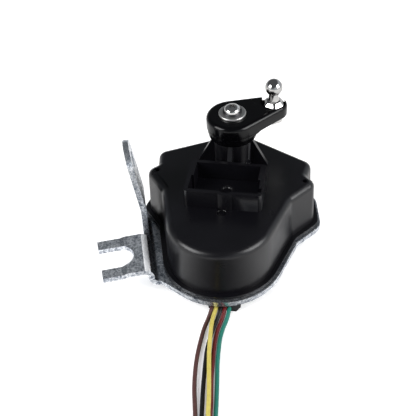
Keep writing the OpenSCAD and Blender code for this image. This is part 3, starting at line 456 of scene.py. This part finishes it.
def spin_profile(shape, centre, profile, steps=64, turn=360.0):
    """Spins a profile of (radius, height) points in millimetres round an upright axis."""
    knots = [shape.verts.new(centre + Vector((r * MM, 0, z * MM))) for r, z in profile]
    lines = [shape.edges.new(pair) for pair in zip(knots, knots[1:])]
    full = turn >= 360
    return bmesh.ops.spin(shape, geom=knots + lines, cent=centre, axis=(0, 0, 1),
                          angle=math.radians(turn), steps=steps, use_merge=full,
                          use_normal_flip=False)


def close_up(shape):
    """Merges the poles of a spun body and turns its faces outward."""
    bmesh.ops.remove_doubles(shape, verts=shape.verts, dist=0.001 * MM)
    bmesh.ops.recalc_face_normals(shape, faces=shape.faces)


def round_corner(radius, height, size, first, last, steps=4):
    """Points of a rounded corner about its own centre."""
    return [(radius + size * math.cos(math.radians(first + (last - first) * k / steps)),
             height + size * math.sin(math.radians(first + (last - first) * k / steps)))
            for k in range(steps + 1)]


def carve(shape, cutter):
    """The first bmesh without what the second one fills."""
    pieces = []
    for name, each in (("Carved", shape), ("Cutter", cutter)):
        mesh = bpy.data.meshes.new(name)
        each.to_mesh(mesh)
        each.free()
        piece = bpy.data.objects.new(name, mesh)
        bpy.context.scene.collection.objects.link(piece)
        pieces.append(piece)
    cut = pieces[0].modifiers.new("Cut", "BOOLEAN")
    cut.operation = "DIFFERENCE"
    cut.solver = "EXACT"
    cut.object = pieces[1]
    seen = pieces[0].evaluated_get(bpy.context.evaluated_depsgraph_get())
    carved = bmesh.new()
    carved.from_mesh(seen.to_mesh())
    seen.to_mesh_clear()
    for piece in pieces:
        mesh = piece.data
        bpy.data.objects.remove(piece)
        bpy.data.meshes.remove(mesh)
    return carved


def face_of(shape, border, height):
    """A flat face at a height, both in millimetres."""
    return shape.faces.new([shape.verts.new((x * MM, y * MM, height * MM)) for x, y in border])


def pull(shape, faces, height):
    """Extrudes faces upright by a height in millimetres and gives the moved corners."""
    grown = bmesh.ops.extrude_face_region(shape, geom=faces)
    moved = [g for g in grown["geom"] if isinstance(g, bmesh.types.BMVert)]
    bmesh.ops.translate(shape, verts=moved, vec=(0, 0, height * MM))
    return moved


def turn_and_move(shape, degrees, offset):
    """Turns all of a shape about the upright axis at the origin, then moves it."""
    bmesh.ops.rotate(shape, verts=shape.verts, cent=(0, 0, 0),
                     matrix=Matrix.Rotation(math.radians(degrees), 3, "Z"))
    bmesh.ops.translate(shape, verts=shape.verts, vec=offset)


def foot_of(node):
    """The middle of a solid's lower side."""
    low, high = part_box(node)
    return Vector(((low.x + high.x) / 2, (low.y + high.y) / 2, low.z))


def take_in(shape, other):
    """Adds a second bmesh to the first as it is."""
    mesh = bpy.data.meshes.new("Taken in")
    other.to_mesh(mesh)
    other.free()
    shape.from_mesh(mesh)
    bpy.data.meshes.remove(mesh)


def dress_node(node, material):
    """Gives a solid that stays as it is its finish."""
    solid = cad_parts[node]
    solid.data.materials.clear()
    solid.data.materials.append(material)


# Leads, in millimetres from the rotor axis and the plate's top

LIE = -6.9  # height of a lead that lies on the surface
LEAD_ROUTES = {
    "brown": [(-0.5, -32, -5.6), (-0.8, -35, -5.9), (-1.5, -40, -6.7), (-2.5, -46, LIE),
              (-2.9, -52, LIE), (-3.1, -60, LIE), (-2.9, -68, LIE), (-2.2, -76, LIE),
              (-1.1, -84, LIE), (0.5, -92, LIE), (2.2, -100, LIE), (4.6, -112, LIE),
              (7, -126, LIE), (8.6, -142, LIE), (9, -158, -6), (9, -172, -4.5)],
    "yellow": [(1.8, -32, -5.6), (1.5, -35, -5.5), (1.1, -40, -5.2), (1.2, -46, -4.6),
               (1.7, -52, -4.4), (2.5, -60, -4.7), (3.6, -68, -4.9), (4.9, -76, -4.8),
               (6.2, -84, -4.6), (7.4, -92, -4.6), (8.4, -100, -4.7), (10.2, -112, -5.8),
               (12.8, -126, LIE), (14.6, -142, LIE), (15, -158, -6), (15, -172, -4.5)],
    "black": [(4.1, -32, -5.6), (3.9, -35, -6), (3.1, -40, -6.8), (2.2, -46, LIE),
              (1.6, -52, LIE), (1.2, -60, LIE), (1.7, -68, LIE), (2.4, -76, LIE),
              (3.2, -84, LIE), (4.2, -92, LIE), (5.3, -100, LIE), (7.6, -112, LIE),
              (10, -126, LIE), (11.6, -142, LIE), (12, -158, -6), (12, -172, -4.5)],
    "red": [(6.4, -32, -5.6), (6.2, -35, -5.9), (5.6, -40, -6.7), (4.6, -46, LIE),
            (4.3, -52, LIE), (4.7, -60, LIE), (5.4, -68, LIE), (6.1, -76, LIE),
            (7.2, -84, LIE), (8.4, -92, LIE), (9.4, -100, LIE), (12.6, -112, LIE),
            (15.6, -126, LIE), (17.6, -142, LIE), (18, -158, -6), (18, -172, -4.5)],
    "green": [(8.7, -32, -5.6), (8.6, -35, -5.9), (8.1, -40, -6.7), (7.1, -46, LIE),
              (6.7, -52, LIE), (7.1, -60, LIE), (7.8, -68, LIE), (8.9, -76, LIE),
              (10, -84, LIE), (11, -92, LIE), (12, -100, LIE), (15.1, -112, LIE),
              (18.4, -126, LIE), (20.6, -142, LIE), (21, -158, -6), (21, -172, -4.5)],
}
LEAD_COLOURS = {
    "brown": (0.075, 0.030, 0.028), "yellow": (0.52, 0.44, 0.10),
    "black": (0.004, 0.004, 0.005), "red": (0.115, 0.008, 0.009),
    "green": (0.010, 0.150, 0.115),
}


SENSOR_WIDTH = 36.0
FOCAL_LENGTH = 70.3
CAMERA_AT = (56.26, -315.06, 321.29)  # millimetres, as for place()
CAMERA_RIGHT = (0.9859, 0.1635, -0.0369)
CAMERA_AHEAD = (-0.1464, 0.7327, -0.6646)
LAMP_TARGET = Vector((0, 0, 0.03))
FLOOR_GLOW = 0.22
# Middle of the floor's painted shade that only mirrors show.
MIRROR_SHADE_SPOT_AT = (4, -66, -8)
FILL_LIGHT = 0.35
HORIZON, CEILING = 0.90, 0.15  # brightness in mirrors


class ACTUATOR_OT_stage(bpy.types.Operator):
    """Make the camera, the pale floor and the soft studio light"""

    bl_idname = "actuator.stage"
    bl_label = "Stage"

    def execute(self, context):
        scene = context.scene
        scene.view_settings.view_transform = "Standard"
        data = bpy.data.cameras.new("Camera")
        data.sensor_width = SENSOR_WIDTH
        data.lens = FOCAL_LENGTH
        data.clip_start = 0.01
        data.clip_end = 30.0
        camera = bpy.data.objects.new("Camera", data)
        scene.collection.objects.link(camera)
        right = Vector(CAMERA_RIGHT).normalized()
        ahead = Vector(CAMERA_AHEAD).normalized()
        up = right.cross(ahead).normalized()
        right = ahead.cross(up).normalized()
        turn = Matrix((right, up, -ahead)).transposed()
        camera.matrix_world = Matrix.Translation(place(*CAMERA_AT)) @ turn.to_4x4()
        scene.camera = camera
        self.make_floor(scene)
        self.make_world(scene)
        self.make_lamp("Left softbox", (-0.55, -0.39, 0.45), (0.46, 0.46), 7.0)
        self.make_lamp("Right softbox", (0.66, -0.18, 0.41), (0.44, 0.46), 6.2)
        top = self.make_lamp("Top softbox", (0, -0.10, 1.10), (0.4, 0.4), 1.0)
        top.visible_glossy = False
        return {"FINISHED"}

    def make_lamp(self, name, at, size, power):
        """A softbox that faces the part."""
        data = bpy.data.lights.new(name, "AREA")
        data.shape = "RECTANGLE"
        data.size, data.size_y = size
        data.energy = power
        lamp = bpy.data.objects.new(name, data)
        bpy.context.scene.collection.objects.link(lamp)
        turn = (LAMP_TARGET - Vector(at)).to_track_quat("-Z", "Y")
        lamp.matrix_world = Matrix.Translation(at) @ turn.to_matrix().to_4x4()
        return lamp

    def make_floor(self, scene):
        """A pale floor, glowing to the camera, with a dim spot that only mirrors show: painted
        shade in the reflections of the housing's walls.
        """
        shape = bmesh.new()
        bmesh.ops.create_grid(shape, x_segments=2, y_segments=2, size=4.0)
        mesh = bpy.data.meshes.new("Floor")
        shape.to_mesh(mesh)
        shape.free()
        floor = bpy.data.objects.new("Floor", mesh)
        scene.collection.objects.link(floor)
        material, tree, shader = start_material("Pale floor")
        tone = remap(tree, noise(tree, object_millimetres(tree), 0.01, 2.0), 0.3, 0.7,
                     0.96, 0.97)
        path = tree.nodes.new("ShaderNodeLightPath")
        away = tree.nodes.new("ShaderNodeVectorMath")
        away.operation = "DISTANCE"
        away.inputs[1].default_value = place(*MIRROR_SHADE_SPOT_AT)
        spot = tree.nodes.new("ShaderNodeTexCoord")
        tree.links.new(spot.outputs["Object"], away.inputs[0])
        # Painted shade in reflections: round this spot the floor is darker only to mirror rays.
        dim = remap(tree, away.outputs["Value"], 0.022, 0.065, 0.82, 0.0)
        dim = combine(tree, "MULTIPLY", dim, path.outputs["Is Glossy Ray"])
        mirrored = combine(tree, "MULTIPLY", tone, combine(tree, "SUBTRACT", 1.0, dim))
        tree.links.new(mirrored, shader.inputs["Base Color"])
        shader.inputs["Emission Color"].default_value = (1, 1, 1, 1)
        tree.links.new(combine(tree, "MULTIPLY", path.outputs["Is Camera Ray"], FLOOR_GLOW),
                       shader.inputs["Emission Strength"])
        shader.inputs["Roughness"].default_value = 0.9
        shader.inputs["Specular IOR Level"].default_value = 0.1
        mesh.materials.append(material)

    def make_world(self, scene):
        """White to the camera, soft fill light, and in mirrors a dark ceiling."""
        world = bpy.data.worlds.new("Studio")
        world.use_nodes = True
        scene.world = world
        tree = world.node_tree
        path = tree.nodes.new("ShaderNodeLightPath")
        shade = tree.nodes["Background"]
        tint = mix_colours(tree, path.outputs["Is Glossy Ray"], (1, 1, 1), (0.90, 0.95, 1.0))
        tree.links.new(tint, shade.inputs["Color"])
        direction = tree.nodes.new("ShaderNodeTexCoord")
        parts = tree.nodes.new("ShaderNodeSeparateXYZ")
        tree.links.new(direction.outputs["Generated"], parts.inputs["Vector"])
        to_right = combine(tree, "MAXIMUM", parts.outputs["X"], 0.0)
        height = combine(tree, "SUBTRACT", parts.outputs["Z"],
                         combine(tree, "MULTIPLY", to_right, 0.8))
        ceiling = remap(tree, height, 0.02, 0.28, HORIZON, CEILING)
        mirrored = combine(tree, "MULTIPLY", path.outputs["Is Glossy Ray"],
                           combine(tree, "SUBTRACT", ceiling, FILL_LIGHT))
        level = combine(tree, "ADD", FILL_LIGHT, mirrored)
        seen = combine(tree, "MAXIMUM", path.outputs["Is Camera Ray"], level)
        tree.links.new(seen, shade.inputs["Strength"])


class ACTUATOR_OT_leads(bpy.types.Operator):
    """Lay the five leads from the gland to their plug"""

    bl_idname = "actuator.leads"
    bl_label = "Leads"

    def execute(self, context):
        for name, route in LEAD_ROUTES.items():
            points = [place(*p) for p in route]
            curve = bpy.data.curves.new(f"Lead_{name}", "CURVE")
            curve.dimensions = "3D"
            curve.bevel_depth = sizes().lead_diameter / 2
            curve.bevel_resolution = 5
            curve.use_fill_caps = True
            spline = curve.splines.new("BEZIER")
            spline.bezier_points.add(len(points) - 1)
            spline.resolution_u = 6
            for knot, point in zip(spline.bezier_points, points):
                knot.co = point
                knot.handle_left_type = knot.handle_right_type = "AUTO"
            piece = bpy.data.objects.new(f"Lead_{name}", curve)
            context.scene.collection.objects.link(piece)
            curve.materials.append(insulation(f"{name.capitalize()} vinyl", LEAD_COLOURS[name]))
            context.view_layer.update()
            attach(piece, FIXED_BODY)
            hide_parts(f"lead_{name}")
        return {"FINISHED"}


class ACTUATOR_OT_housing(bpy.types.Operator):
    """Finish the moulded housing and its gasket"""

    bl_idname = "actuator.housing"
    bl_label = "Housing"

    def execute(self, context):
        shape = merged_copy("housing")
        break_edges(shape, sizes().housing_edge)
        plastic = moulding("Satin black moulding", tuple(colours().housing), roughness=0.27,
                           grain=3.2, rough_spread=0.08, level=0.34)
        finish_mesh("Housing_moulding", shape, FIXED_BODY, [plastic], ["housing"])
        dress_node("gasket", moulding("Gasket rubber", (0.012, 0.012, 0.012), roughness=0.6,
                                      grain=2.0))
        return {"FINISHED"}


class ACTUATOR_OT_bracket(bpy.types.Operator):
    """Finish the folded zinc-plated bracket"""

    bl_idname = "actuator.bracket"
    bl_label = "Bracket"

    def execute(self, context):
        shape = merged_copy("bracket")
        self.mark_dull_and_highlight(shape)
        break_edges(shape, sizes().sheet_edge)
        coat = zinc("Zinc-plated sheet", tuple(colours().zinc), tuple(colours().zinc_shade))
        finish_mesh("Folded_bracket", shape, FIXED_BODY, [coat], ["bracket"])
        return {"FINISHED"}

    def mark_dull_and_highlight(self, shape):
        """Marks where the coat is dull and painted pale as a highlight: full on the fold beside
        the fork, faint on its top, which it lightens.
        """
        marks = shape.loops.layers.float.new("dull_and_highlight")
        fork_low, fork_high = 4, 12
        flat, bent = 0.99, 0.72
        for face in shape.faces:
            normal = face.normal
            height = (face.calc_center_median().z - PLATE_TOP) / MM
            if not fork_low < height < fork_high:
                continue
            # Faces are chosen by which way they face, up and towards the housing, where the
            # painted highlight goes.
            if normal.z >= flat:
                dull_and_highlight = 0.12
            elif normal.z > bent and normal.x > 0.1:
                dull_and_highlight = 1.0
            else:
                continue
            for loop in face.loops:
                loop[marks] = dull_and_highlight


# Crank arm, in millimetres along its own direction from the output axis

CRANK_TURN = 34.0  # degrees
CRANK_REACH = 25.5
CRANK_HUB = 14.5
CRANK_TIP = 7.7
CRANK_SLOPE = math.acos((CRANK_HUB - CRANK_TIP) / CRANK_REACH)  # radians
CRANK_SOFT = 2.6
SHELF_DEPTH = 3.3
TIP_THICKNESS = 4.5
TIP_WALL = 6.95
POCKET_RADIUS = 7.4
MOULD_MARK = (14.9, 2.6)


class ACTUATOR_OT_crank(bpy.types.Operator):
    """Mould the crank arm: a round hub that flares into an arm with a stepped tip"""

    bl_idname = "actuator.crank"
    bl_label = "Crank arm"

    def execute(self, context):
        low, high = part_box("crank_arm")
        hub = foot_of("output_shaft")
        hub.z = low.z
        top = (high.z - low.z) / MM
        shelf = top - SHELF_DEPTH
        underside = shelf - TIP_THICKNESS
        shape = carve(self.make_arm(underside, top), self.make_pocket(shelf, top))
        break_edges(shape, sizes().crank_edge, sharp=40, shortest=0.05)
        body = bmesh.new()
        self.make_hub(body, underside)
        take_in(shape, body)
        ring = [(0.75, 0), (0.8, 0.05), (0.95, 0.05), (1.0, 0)]
        spin_profile(shape, Vector((*MOULD_MARK, top)) * MM, ring, 24)
        bmesh.ops.recalc_face_normals(shape, faces=shape.faces)
        turn_and_move(shape, CRANK_TURN, hub)
        black = tuple(0.35 * c for c in colours().housing)
        plastic = moulding("Crank moulding", black, roughness=0.14, grain=3.4,
                           rough_spread=0.05, level=0.18)
        finish_mesh("Crank_moulding", shape, CRANK_BODY, [plastic], ["crank_arm"],
                    sharp=50)
        return {"FINISHED"}

    def make_arm(self, underside, top):
        """The arm between two rounds, with a soft upper edge."""
        shape = bmesh.new()
        levels = [(underside, 0.6), (underside + 0.15, 0.25), (underside + 0.6, 0.0)]
        levels += [(top - CRANK_SOFT + CRANK_SOFT * math.sin(math.radians(15 * k)),
                    CRANK_SOFT - CRANK_SOFT * math.cos(math.radians(15 * k)))
                   for k in range(7)]
        for height, inset in levels:
            for middle, radius in ((0, CRANK_HUB), (CRANK_REACH, CRANK_TIP)):
                bmesh.ops.create_circle(
                    shape, cap_ends=False, segments=96, radius=(radius - inset) * MM,
                    matrix=Matrix.Translation((middle * MM, 0, height * MM)))
        bmesh.ops.convex_hull(shape, input=shape.verts, use_existing_faces=False)
        bmesh.ops.delete(shape, geom=[v for v in shape.verts if not v.link_faces],
                         context="VERTS")
        bmesh.ops.dissolve_limit(shape, angle_limit=math.radians(0.5), verts=shape.verts,
                                 edges=shape.edges, use_dissolve_boundaries=False)
        return shape

    def make_pocket(self, shelf, top):
        """What is cut away round the stud: a wall stays in front, the rear is open."""
        shape = bmesh.new()
        far = 20
        border = round_corner(CRANK_REACH, 0, TIP_WALL, 0, -math.degrees(CRANK_SLOPE), 16)
        border += round_corner(CRANK_REACH, 0, POCKET_RADIUS, -101, -240, 28)
        border += [(CRANK_REACH - POCKET_RADIUS / 2, far), (CRANK_REACH + far, far),
                   (CRANK_REACH + far, 0)]
        pull(shape, [face_of(shape, border, shelf)], top - shelf + 1)
        bmesh.ops.recalc_face_normals(shape, faces=shape.faces)
        return shape

    def make_hub(self, shape, underside):
        """The hub, round at its foot and flaring out under the arm, within its outline."""
        side = CRANK_HUB - 0.9
        foot = 2.2
        flare_out, flare_up = 5.6, min(3.8, underside - foot)
        profile = [(0, 0)] + round_corner(side - foot, foot, foot, -90, 0, 6)
        for k in range(11):
            angle = math.radians(180 - 9 * k)
            profile.append((side + flare_out * (1 + math.cos(angle)),
                            underside + 0.15 + flare_up * (math.sin(angle) - 1)))
        profile += [(side + flare_out, underside + 1), (0, underside + 1)]
        spin_profile(shape, Vector((0, 0, 0)), profile, 120)
        close_up(shape)
        widest = CRANK_HUB - 0.5
        for vert in shape.verts:
            reach = vert.co.xy.length / MM
            angle = abs(math.atan2(vert.co.y, vert.co.x))
            limit = widest
            if angle < CRANK_SLOPE:
                limit = widest / math.cos(CRANK_SLOPE - angle)
            if reach > limit:
                vert.co.x *= limit / reach
                vert.co.y *= limit / reach


# Fastenings, in millimetres

BORE_RADIUS = 2.5
FLAT_WASHER_RADIUS = 7.55
FLAT_WASHER_CORNER = 0.5
SPRING_GAP_TURN = 54  # degrees
THREAD_RADIUS = 2.1
THREAD_DEPTH = 0.35
CROSS_ARM = 2.4
CROSS_HALF_WIDTH = 0.6
CROSS_DEPTH = 2.2
CROSS_TAPER = 0.55
CROSS_TURN = 56  # degrees
BALL_RADIUS = 4.8
SOLID_BALL_RADIUS = 5.0
NECK_RADIUS = 2.75
HEXAGON_FLATS = 11.9
HEXAGON_HEIGHT = 5.0
HEXAGON_WALL = 2.0
HEXAGON_CROWN = 0.6  # share of the foot's width
HEXAGON_TURN = 12  # degrees


class ACTUATOR_OT_fastenings(bpy.types.Operator):
    """Make the screw, the washers and the ball stud, and finish the stud's nut"""

    bl_idname = "actuator.fastenings"
    bl_label = "Fastenings"

    def execute(self, context):
        low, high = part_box("crank_washer")
        hub = foot_of("crank_washer")
        self.make_flat_washer(hub, (high.z - low.z) / MM)
        self.make_spring_washer(hub)
        self.make_screw(hub)
        low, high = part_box("ball_stud")
        foot = foot_of("stud_nut")
        foot.z = low.z
        shelf = (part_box("crank_arm")[1].z - low.z) / MM - SHELF_DEPTH
        dark = tuple(0.76 * c for c in colours().bright_steel)
        steel = turned_metal("Ball stud steel", dark, foot, 0.045, 0.05, 4.0, 0.03)
        self.make_stud(foot, shelf, (high.z - low.z) / MM, steel)
        self.make_hexagon(foot, shelf, steel)
        shape = merged_copy("stud_nut")
        break_edges(shape, sizes().small_edge, sharp=30)
        finish_mesh("Stud_nut", shape, CRANK_BODY,
                    [turned_metal("Nut steel", tuple(colours().bright_steel), foot, 0.2, 0.15)],
                    ["stud_nut"], sharp=28)
        return {"FINISHED"}

    def make_flat_washer(self, hub, height):
        """A round washer with a rolled upper corner."""
        shape = bmesh.new()
        nick = 0.15
        rim = 0.2
        corner = FLAT_WASHER_CORNER
        profile = [(BORE_RADIUS, nick), (BORE_RADIUS, height - nick),
                   (BORE_RADIUS + nick, height)]
        profile += round_corner(FLAT_WASHER_RADIUS - corner, height - corner, corner, 90, 0)
        profile += [(FLAT_WASHER_RADIUS, rim), (FLAT_WASHER_RADIUS - rim, 0),
                    (BORE_RADIUS + nick, 0), (BORE_RADIUS, nick)]
        spin_profile(shape, hub, profile, 96)
        close_up(shape)
        finish_mesh("Flat_washer", shape, CRANK_BODY,
                    [turned_metal("Washer steel", tuple(colours().bright_steel), hub, 0.32,
                                  0.12, 5.0, 0.2)], ["crank_washer"], sharp=40)

    def make_spring_washer(self, hub):
        """A flat ring with a gap."""
        low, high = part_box("spring_washer")
        height = (high.z - low.z) / MM
        outer = (high.x - low.x) / 2 / MM - 0.1
        shape = bmesh.new()
        inner = BORE_RADIUS
        nick = 0.18
        section = [(inner, nick), (inner, height - nick), (inner + nick, height),
                   (outer - nick, height), (outer, height - nick), (outer, nick),
                   (outer - nick, 0), (inner + nick, 0), (inner, nick)]
        foot = Vector((hub.x, hub.y, low.z))
        spin_profile(shape, foot, section, 72, 345)
        bmesh.ops.remove_doubles(shape, verts=shape.verts, dist=0.001 * MM)
        bmesh.ops.rotate(shape, verts=shape.verts, cent=foot,
                         matrix=Matrix.Rotation(math.radians(SPRING_GAP_TURN), 3, "Z"))
        bmesh.ops.holes_fill(shape, edges=[e for e in shape.edges if e.is_boundary])
        bmesh.ops.recalc_face_normals(shape, faces=shape.faces)
        # The washer's steel is painted nearly black, standing for the shadow between the screw
        # head and the flat washer.
        finish_mesh("Spring_washer", shape, CRANK_BODY,
                    [turned_metal("Spring steel painted dark as shade", (0.07, 0.07, 0.075), hub, 0.3, 0.12)],
                    ["spring_washer"], sharp=40)

    def make_screw(self, hub):
        """A domed head with a cross recess on a shank with thread rings."""
        low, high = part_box("crank_screw")
        radius = (high.x - low.x) / 2 / MM
        top = (high.z - low.z) / MM
        seat = (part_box("spring_washer")[1].z - low.z) / MM
        foot = Vector((hub.x, hub.y, low.z))
        shape = bmesh.new()
        profile = [(0, 0), (THREAD_RADIUS - 0.5, 0), (THREAD_RADIUS, 0.5)]
        for k in range(int(seat) - 2):
            profile += [(THREAD_RADIUS, 0.9 + k), (THREAD_RADIUS - THREAD_DEPTH, 1.4 + k)]
        profile += [(THREAD_RADIUS, seat - 1), (THREAD_RADIUS, seat), (radius - 0.15, seat),
                    (radius, seat + 0.15)]
        crown = radius - 0.08
        crown_foot = seat + 0.6
        for k in range(12):
            angle = math.radians(7.5 * k)
            profile.append((crown * math.cos(angle),
                            crown_foot + (top - crown_foot) * math.sin(angle)))
        profile.append((0, top))
        spin_profile(shape, foot, profile, 64)
        close_up(shape)
        shape = carve(shape, self.make_cross(foot, top))
        finish_mesh("Crank_screw", shape, CRANK_BODY,
                    [turned_metal("Screw steel", tuple(colours().bright_steel), hub, 0.10, 0.08,
                                  5.0, 0.06)], ["crank_screw"], sharp=38)

    def make_cross(self, foot, top):
        """A tapering cross that is cut into the head's crown."""
        shape = bmesh.new()
        above = 0.5
        corners = [(CROSS_ARM, -CROSS_HALF_WIDTH), (CROSS_ARM, CROSS_HALF_WIDTH),
                   (CROSS_HALF_WIDTH, CROSS_HALF_WIDTH)]
        border = []
        for quarter in range(4):
            c, s = math.cos(math.radians(90 * quarter)), math.sin(math.radians(90 * quarter))
            border += [(x * c - y * s, x * s + y * c) for x, y in corners]
        sunk = pull(shape, [face_of(shape, border, above)], -(above + CROSS_DEPTH))
        bmesh.ops.scale(shape, verts=sunk, vec=(CROSS_TAPER, CROSS_TAPER, 1))
        bmesh.ops.recalc_face_normals(shape, faces=shape.faces)
        turn_and_move(shape, CROSS_TURN, foot + Vector((0, 0, top * MM)))
        return shape

    def make_stud(self, foot, shelf, top, steel):
        """A polished ball on a waisted neck over a shank."""
        shape = bmesh.new()
        seat = shelf + HEXAGON_HEIGHT
        shank, collar, nick = 3.0, 3.3, 0.4
        profile = [(0, 0), (shank - nick, 0), (shank, nick), (shank, seat - nick),
                   (collar, seat - 0.1), (collar, seat + 0.2), (NECK_RADIUS, seat + 1.1)]
        centre = top - SOLID_BALL_RADIUS
        start = -math.degrees(math.acos(NECK_RADIUS / BALL_RADIUS))
        count = 22
        for k in range(count):
            angle = math.radians(start + (90 - start) * k / count)
            profile.append((BALL_RADIUS * math.cos(angle), centre + BALL_RADIUS * math.sin(angle)))
        profile.append((0, centre + BALL_RADIUS))
        spin_profile(shape, foot, profile, 72)
        close_up(shape)
        finish_mesh("Ball_stud", shape, CRANK_BODY, [steel], ["ball_stud"],
                    sharp=40)

    def make_hexagon(self, foot, shelf, steel):
        """The stud's hexagon: a low upright wall with slanted facets over it."""
        shape = bmesh.new()
        rise = HEXAGON_HEIGHT - HEXAGON_WALL
        corner = HEXAGON_FLATS / math.sqrt(3)
        made = bmesh.ops.create_cone(shape, cap_ends=True, cap_tris=False, segments=6,
                                     radius1=corner * MM, radius2=HEXAGON_CROWN * corner * MM,
                                     depth=rise * MM)
        bmesh.ops.translate(shape, verts=made["verts"],
                            vec=(0, 0, (HEXAGON_WALL + rise / 2) * MM))
        under = [f for f in shape.faces if f.normal.z < -0.9]
        pull(shape, under, -HEXAGON_WALL)
        bmesh.ops.delete(shape, geom=under, context="FACES_ONLY")
        bmesh.ops.recalc_face_normals(shape, faces=shape.faces)
        turn_and_move(shape, HEXAGON_TURN, foot + Vector((0, 0, shelf * MM)))
        break_edges(shape, sizes().hexagon_edge, sharp=20, segments=6, shortest=0.3)
        finish_mesh("Stud_hexagon", shape, CRANK_BODY, [steel], [], sharp=28)


BRASS = (0.72, 0.5, 0.2)


class ACTUATOR_OT_underside(bpy.types.Operator):
    """Finish the lead gland, the case screws and the plug"""

    bl_idname = "actuator.underside"
    bl_label = "Underside and plug"

    def execute(self, context):
        shape = merged_copy("lead_gland")
        break_edges(shape, sizes().sheet_edge)
        rubber = moulding("Gland rubber", (0.011, 0.011, 0.012), roughness=0.5, grain=2.4)
        finish_mesh("Lead_gland", shape, FIXED_BODY, [rubber], ["lead_gland"])
        shape = merged_copy("case_screws")
        break_edges(shape, sizes().small_edge)
        plated = zinc("Zinc-plated screws", (0.6, 0.61, 0.63), (0.4, 0.41, 0.44), roughness=0.3)
        finish_mesh("Foot_screws", shape, FIXED_BODY, [plated], ["case_screws"])
        dress_node("plug_housing", moulding("Natural nylon", (0.66, 0.64, 0.57),
                                            roughness=0.42, grain=2.0, wear_and_sheen_amount=0.1))
        dress_node("plug_terminals", turned_metal("Plug terminal brass", BRASS, (0, 0),
                                                  roughness=0.22))
        return {"FINISHED"}


SHAFT_STEEL = (0.66, 0.66, 0.66)


class ACTUATOR_OT_works(bpy.types.Operator):
    """Finish the motor and the gears inside the housing"""

    bl_idname = "actuator.works"
    bl_label = "Motor and gears"

    def execute(self, context):
        rotor = (ROTOR_X, ROTOR_Y)
        output = foot_of("output_shaft")
        drawn = zinc("Drawn can steel", (0.55, 0.55, 0.56), (0.42, 0.42, 0.43), roughness=0.3)
        pressed = zinc("Pressed pole steel", (0.42, 0.42, 0.43), (0.32, 0.32, 0.33),
                       roughness=0.4)
        ground = turned_metal("Ground shaft steel", SHAFT_STEEL, rotor, roughness=0.15)
        output_steel = turned_metal("Output shaft steel", SHAFT_STEEL, output, roughness=0.15)
        bronze = turned_metal("Sintered bronze", (0.48, 0.32, 0.15), rotor, roughness=0.4,
                              spread=0.15, rings=3.0)
        natural = moulding("Natural bobbin", (0.62, 0.57, 0.44), roughness=0.45, grain=2.2,
                           wear_and_sheen_amount=0.1)
        acetal = moulding("White acetal", (0.72, 0.70, 0.64), roughness=0.34, grain=2.6,
                          wear_and_sheen_amount=0.1)
        copper = turned_metal("Enamelled copper", (0.5, 0.17, 0.06), rotor, roughness=0.25,
                              spread=0.1, rings=2.6, strength=0.5)
        ferrite = moulding("Sintered ferrite", (0.035, 0.035, 0.04), roughness=0.5, grain=1.6)
        brass = turned_metal("Machined brass", BRASS, rotor, roughness=0.2)
        seal = moulding("Seal rubber", (0.02, 0.014, 0.012), roughness=0.55, grain=2.0)
        finishes = [
            (drawn, ["motor_can", "gear_carrier"]),
            (pressed, ["outer_pole_lower", "inner_pole_lower", "inner_pole_upper",
                       "outer_pole_upper"]),
            (natural, ["bobbin_lower", "bobbin_upper", "terminal_block"]),
            (copper, ["winding_lower", "winding_upper"]),
            (ferrite, ["rotor_magnet"]),
            (ground, ["rotor_shaft", "carrier_posts", "carrier_screws", "stop_pin",
                      "idler_pin"]),
            (output_steel, ["output_shaft"]),
            (brass, ["rotor_pinion"]),
            (bronze, ["rotor_bush_lower", "rotor_bush_upper", "carrier_bush",
                      "boss_bush_lower", "boss_bush_upper", "thrust_washer"]),
            (acetal, ["idler_gear", "output_gear"]),
            (seal, ["shaft_seal"]),
        ]
        for material, nodes in finishes:
            for node in nodes:
                dress_node(node, material)
        return {"FINISHED"}


class ACTUATOR_PT_panel(bpy.types.Panel):
    """Lists the actuator's pieces and settings"""

    bl_idname = "ACTUATOR_PT_panel"
    bl_label = "Geared actuator"
    bl_space_type = "VIEW_3D"
    bl_region_type = "UI"
    bl_category = "Actuator"

    def draw(self, context):
        column = self.layout.column(align=True)
        for operator in STEPS:
            column.operator(operator.bl_idname)
        for group, keeper in ((context.scene.actuator_colours, ActuatorColours),
                              (context.scene.actuator_sizes, ActuatorSizes)):
            box = self.layout.box()
            for name in keeper.__annotations__:
                box.prop(group, name)


STEPS = (ACTUATOR_OT_stage, ACTUATOR_OT_leads, ACTUATOR_OT_housing, ACTUATOR_OT_bracket,
         ACTUATOR_OT_crank, ACTUATOR_OT_fastenings, ACTUATOR_OT_underside,
         ACTUATOR_OT_works)
CLASSES = (ActuatorColours, ActuatorSizes, *STEPS, ACTUATOR_PT_panel)


def register():
    for each in CLASSES:
        bpy.utils.register_class(each)
    bpy.types.Scene.actuator_colours = bpy.props.PointerProperty(type=ActuatorColours)
    bpy.types.Scene.actuator_sizes = bpy.props.PointerProperty(type=ActuatorSizes)


def unregister():
    del bpy.types.Scene.actuator_sizes
    del bpy.types.Scene.actuator_colours
    for each in reversed(CLASSES):
        bpy.utils.unregister_class(each)


def main():
    register()
    bpy.ops.actuator.stage()
    bpy.ops.actuator.leads()
    bpy.ops.actuator.housing()
    bpy.ops.actuator.bracket()
    bpy.ops.actuator.crank()
    bpy.ops.actuator.fastenings()
    bpy.ops.actuator.underside()
    bpy.ops.actuator.works()
    bpy.context.view_layer.update()


if __name__ == "__main__":
    main()
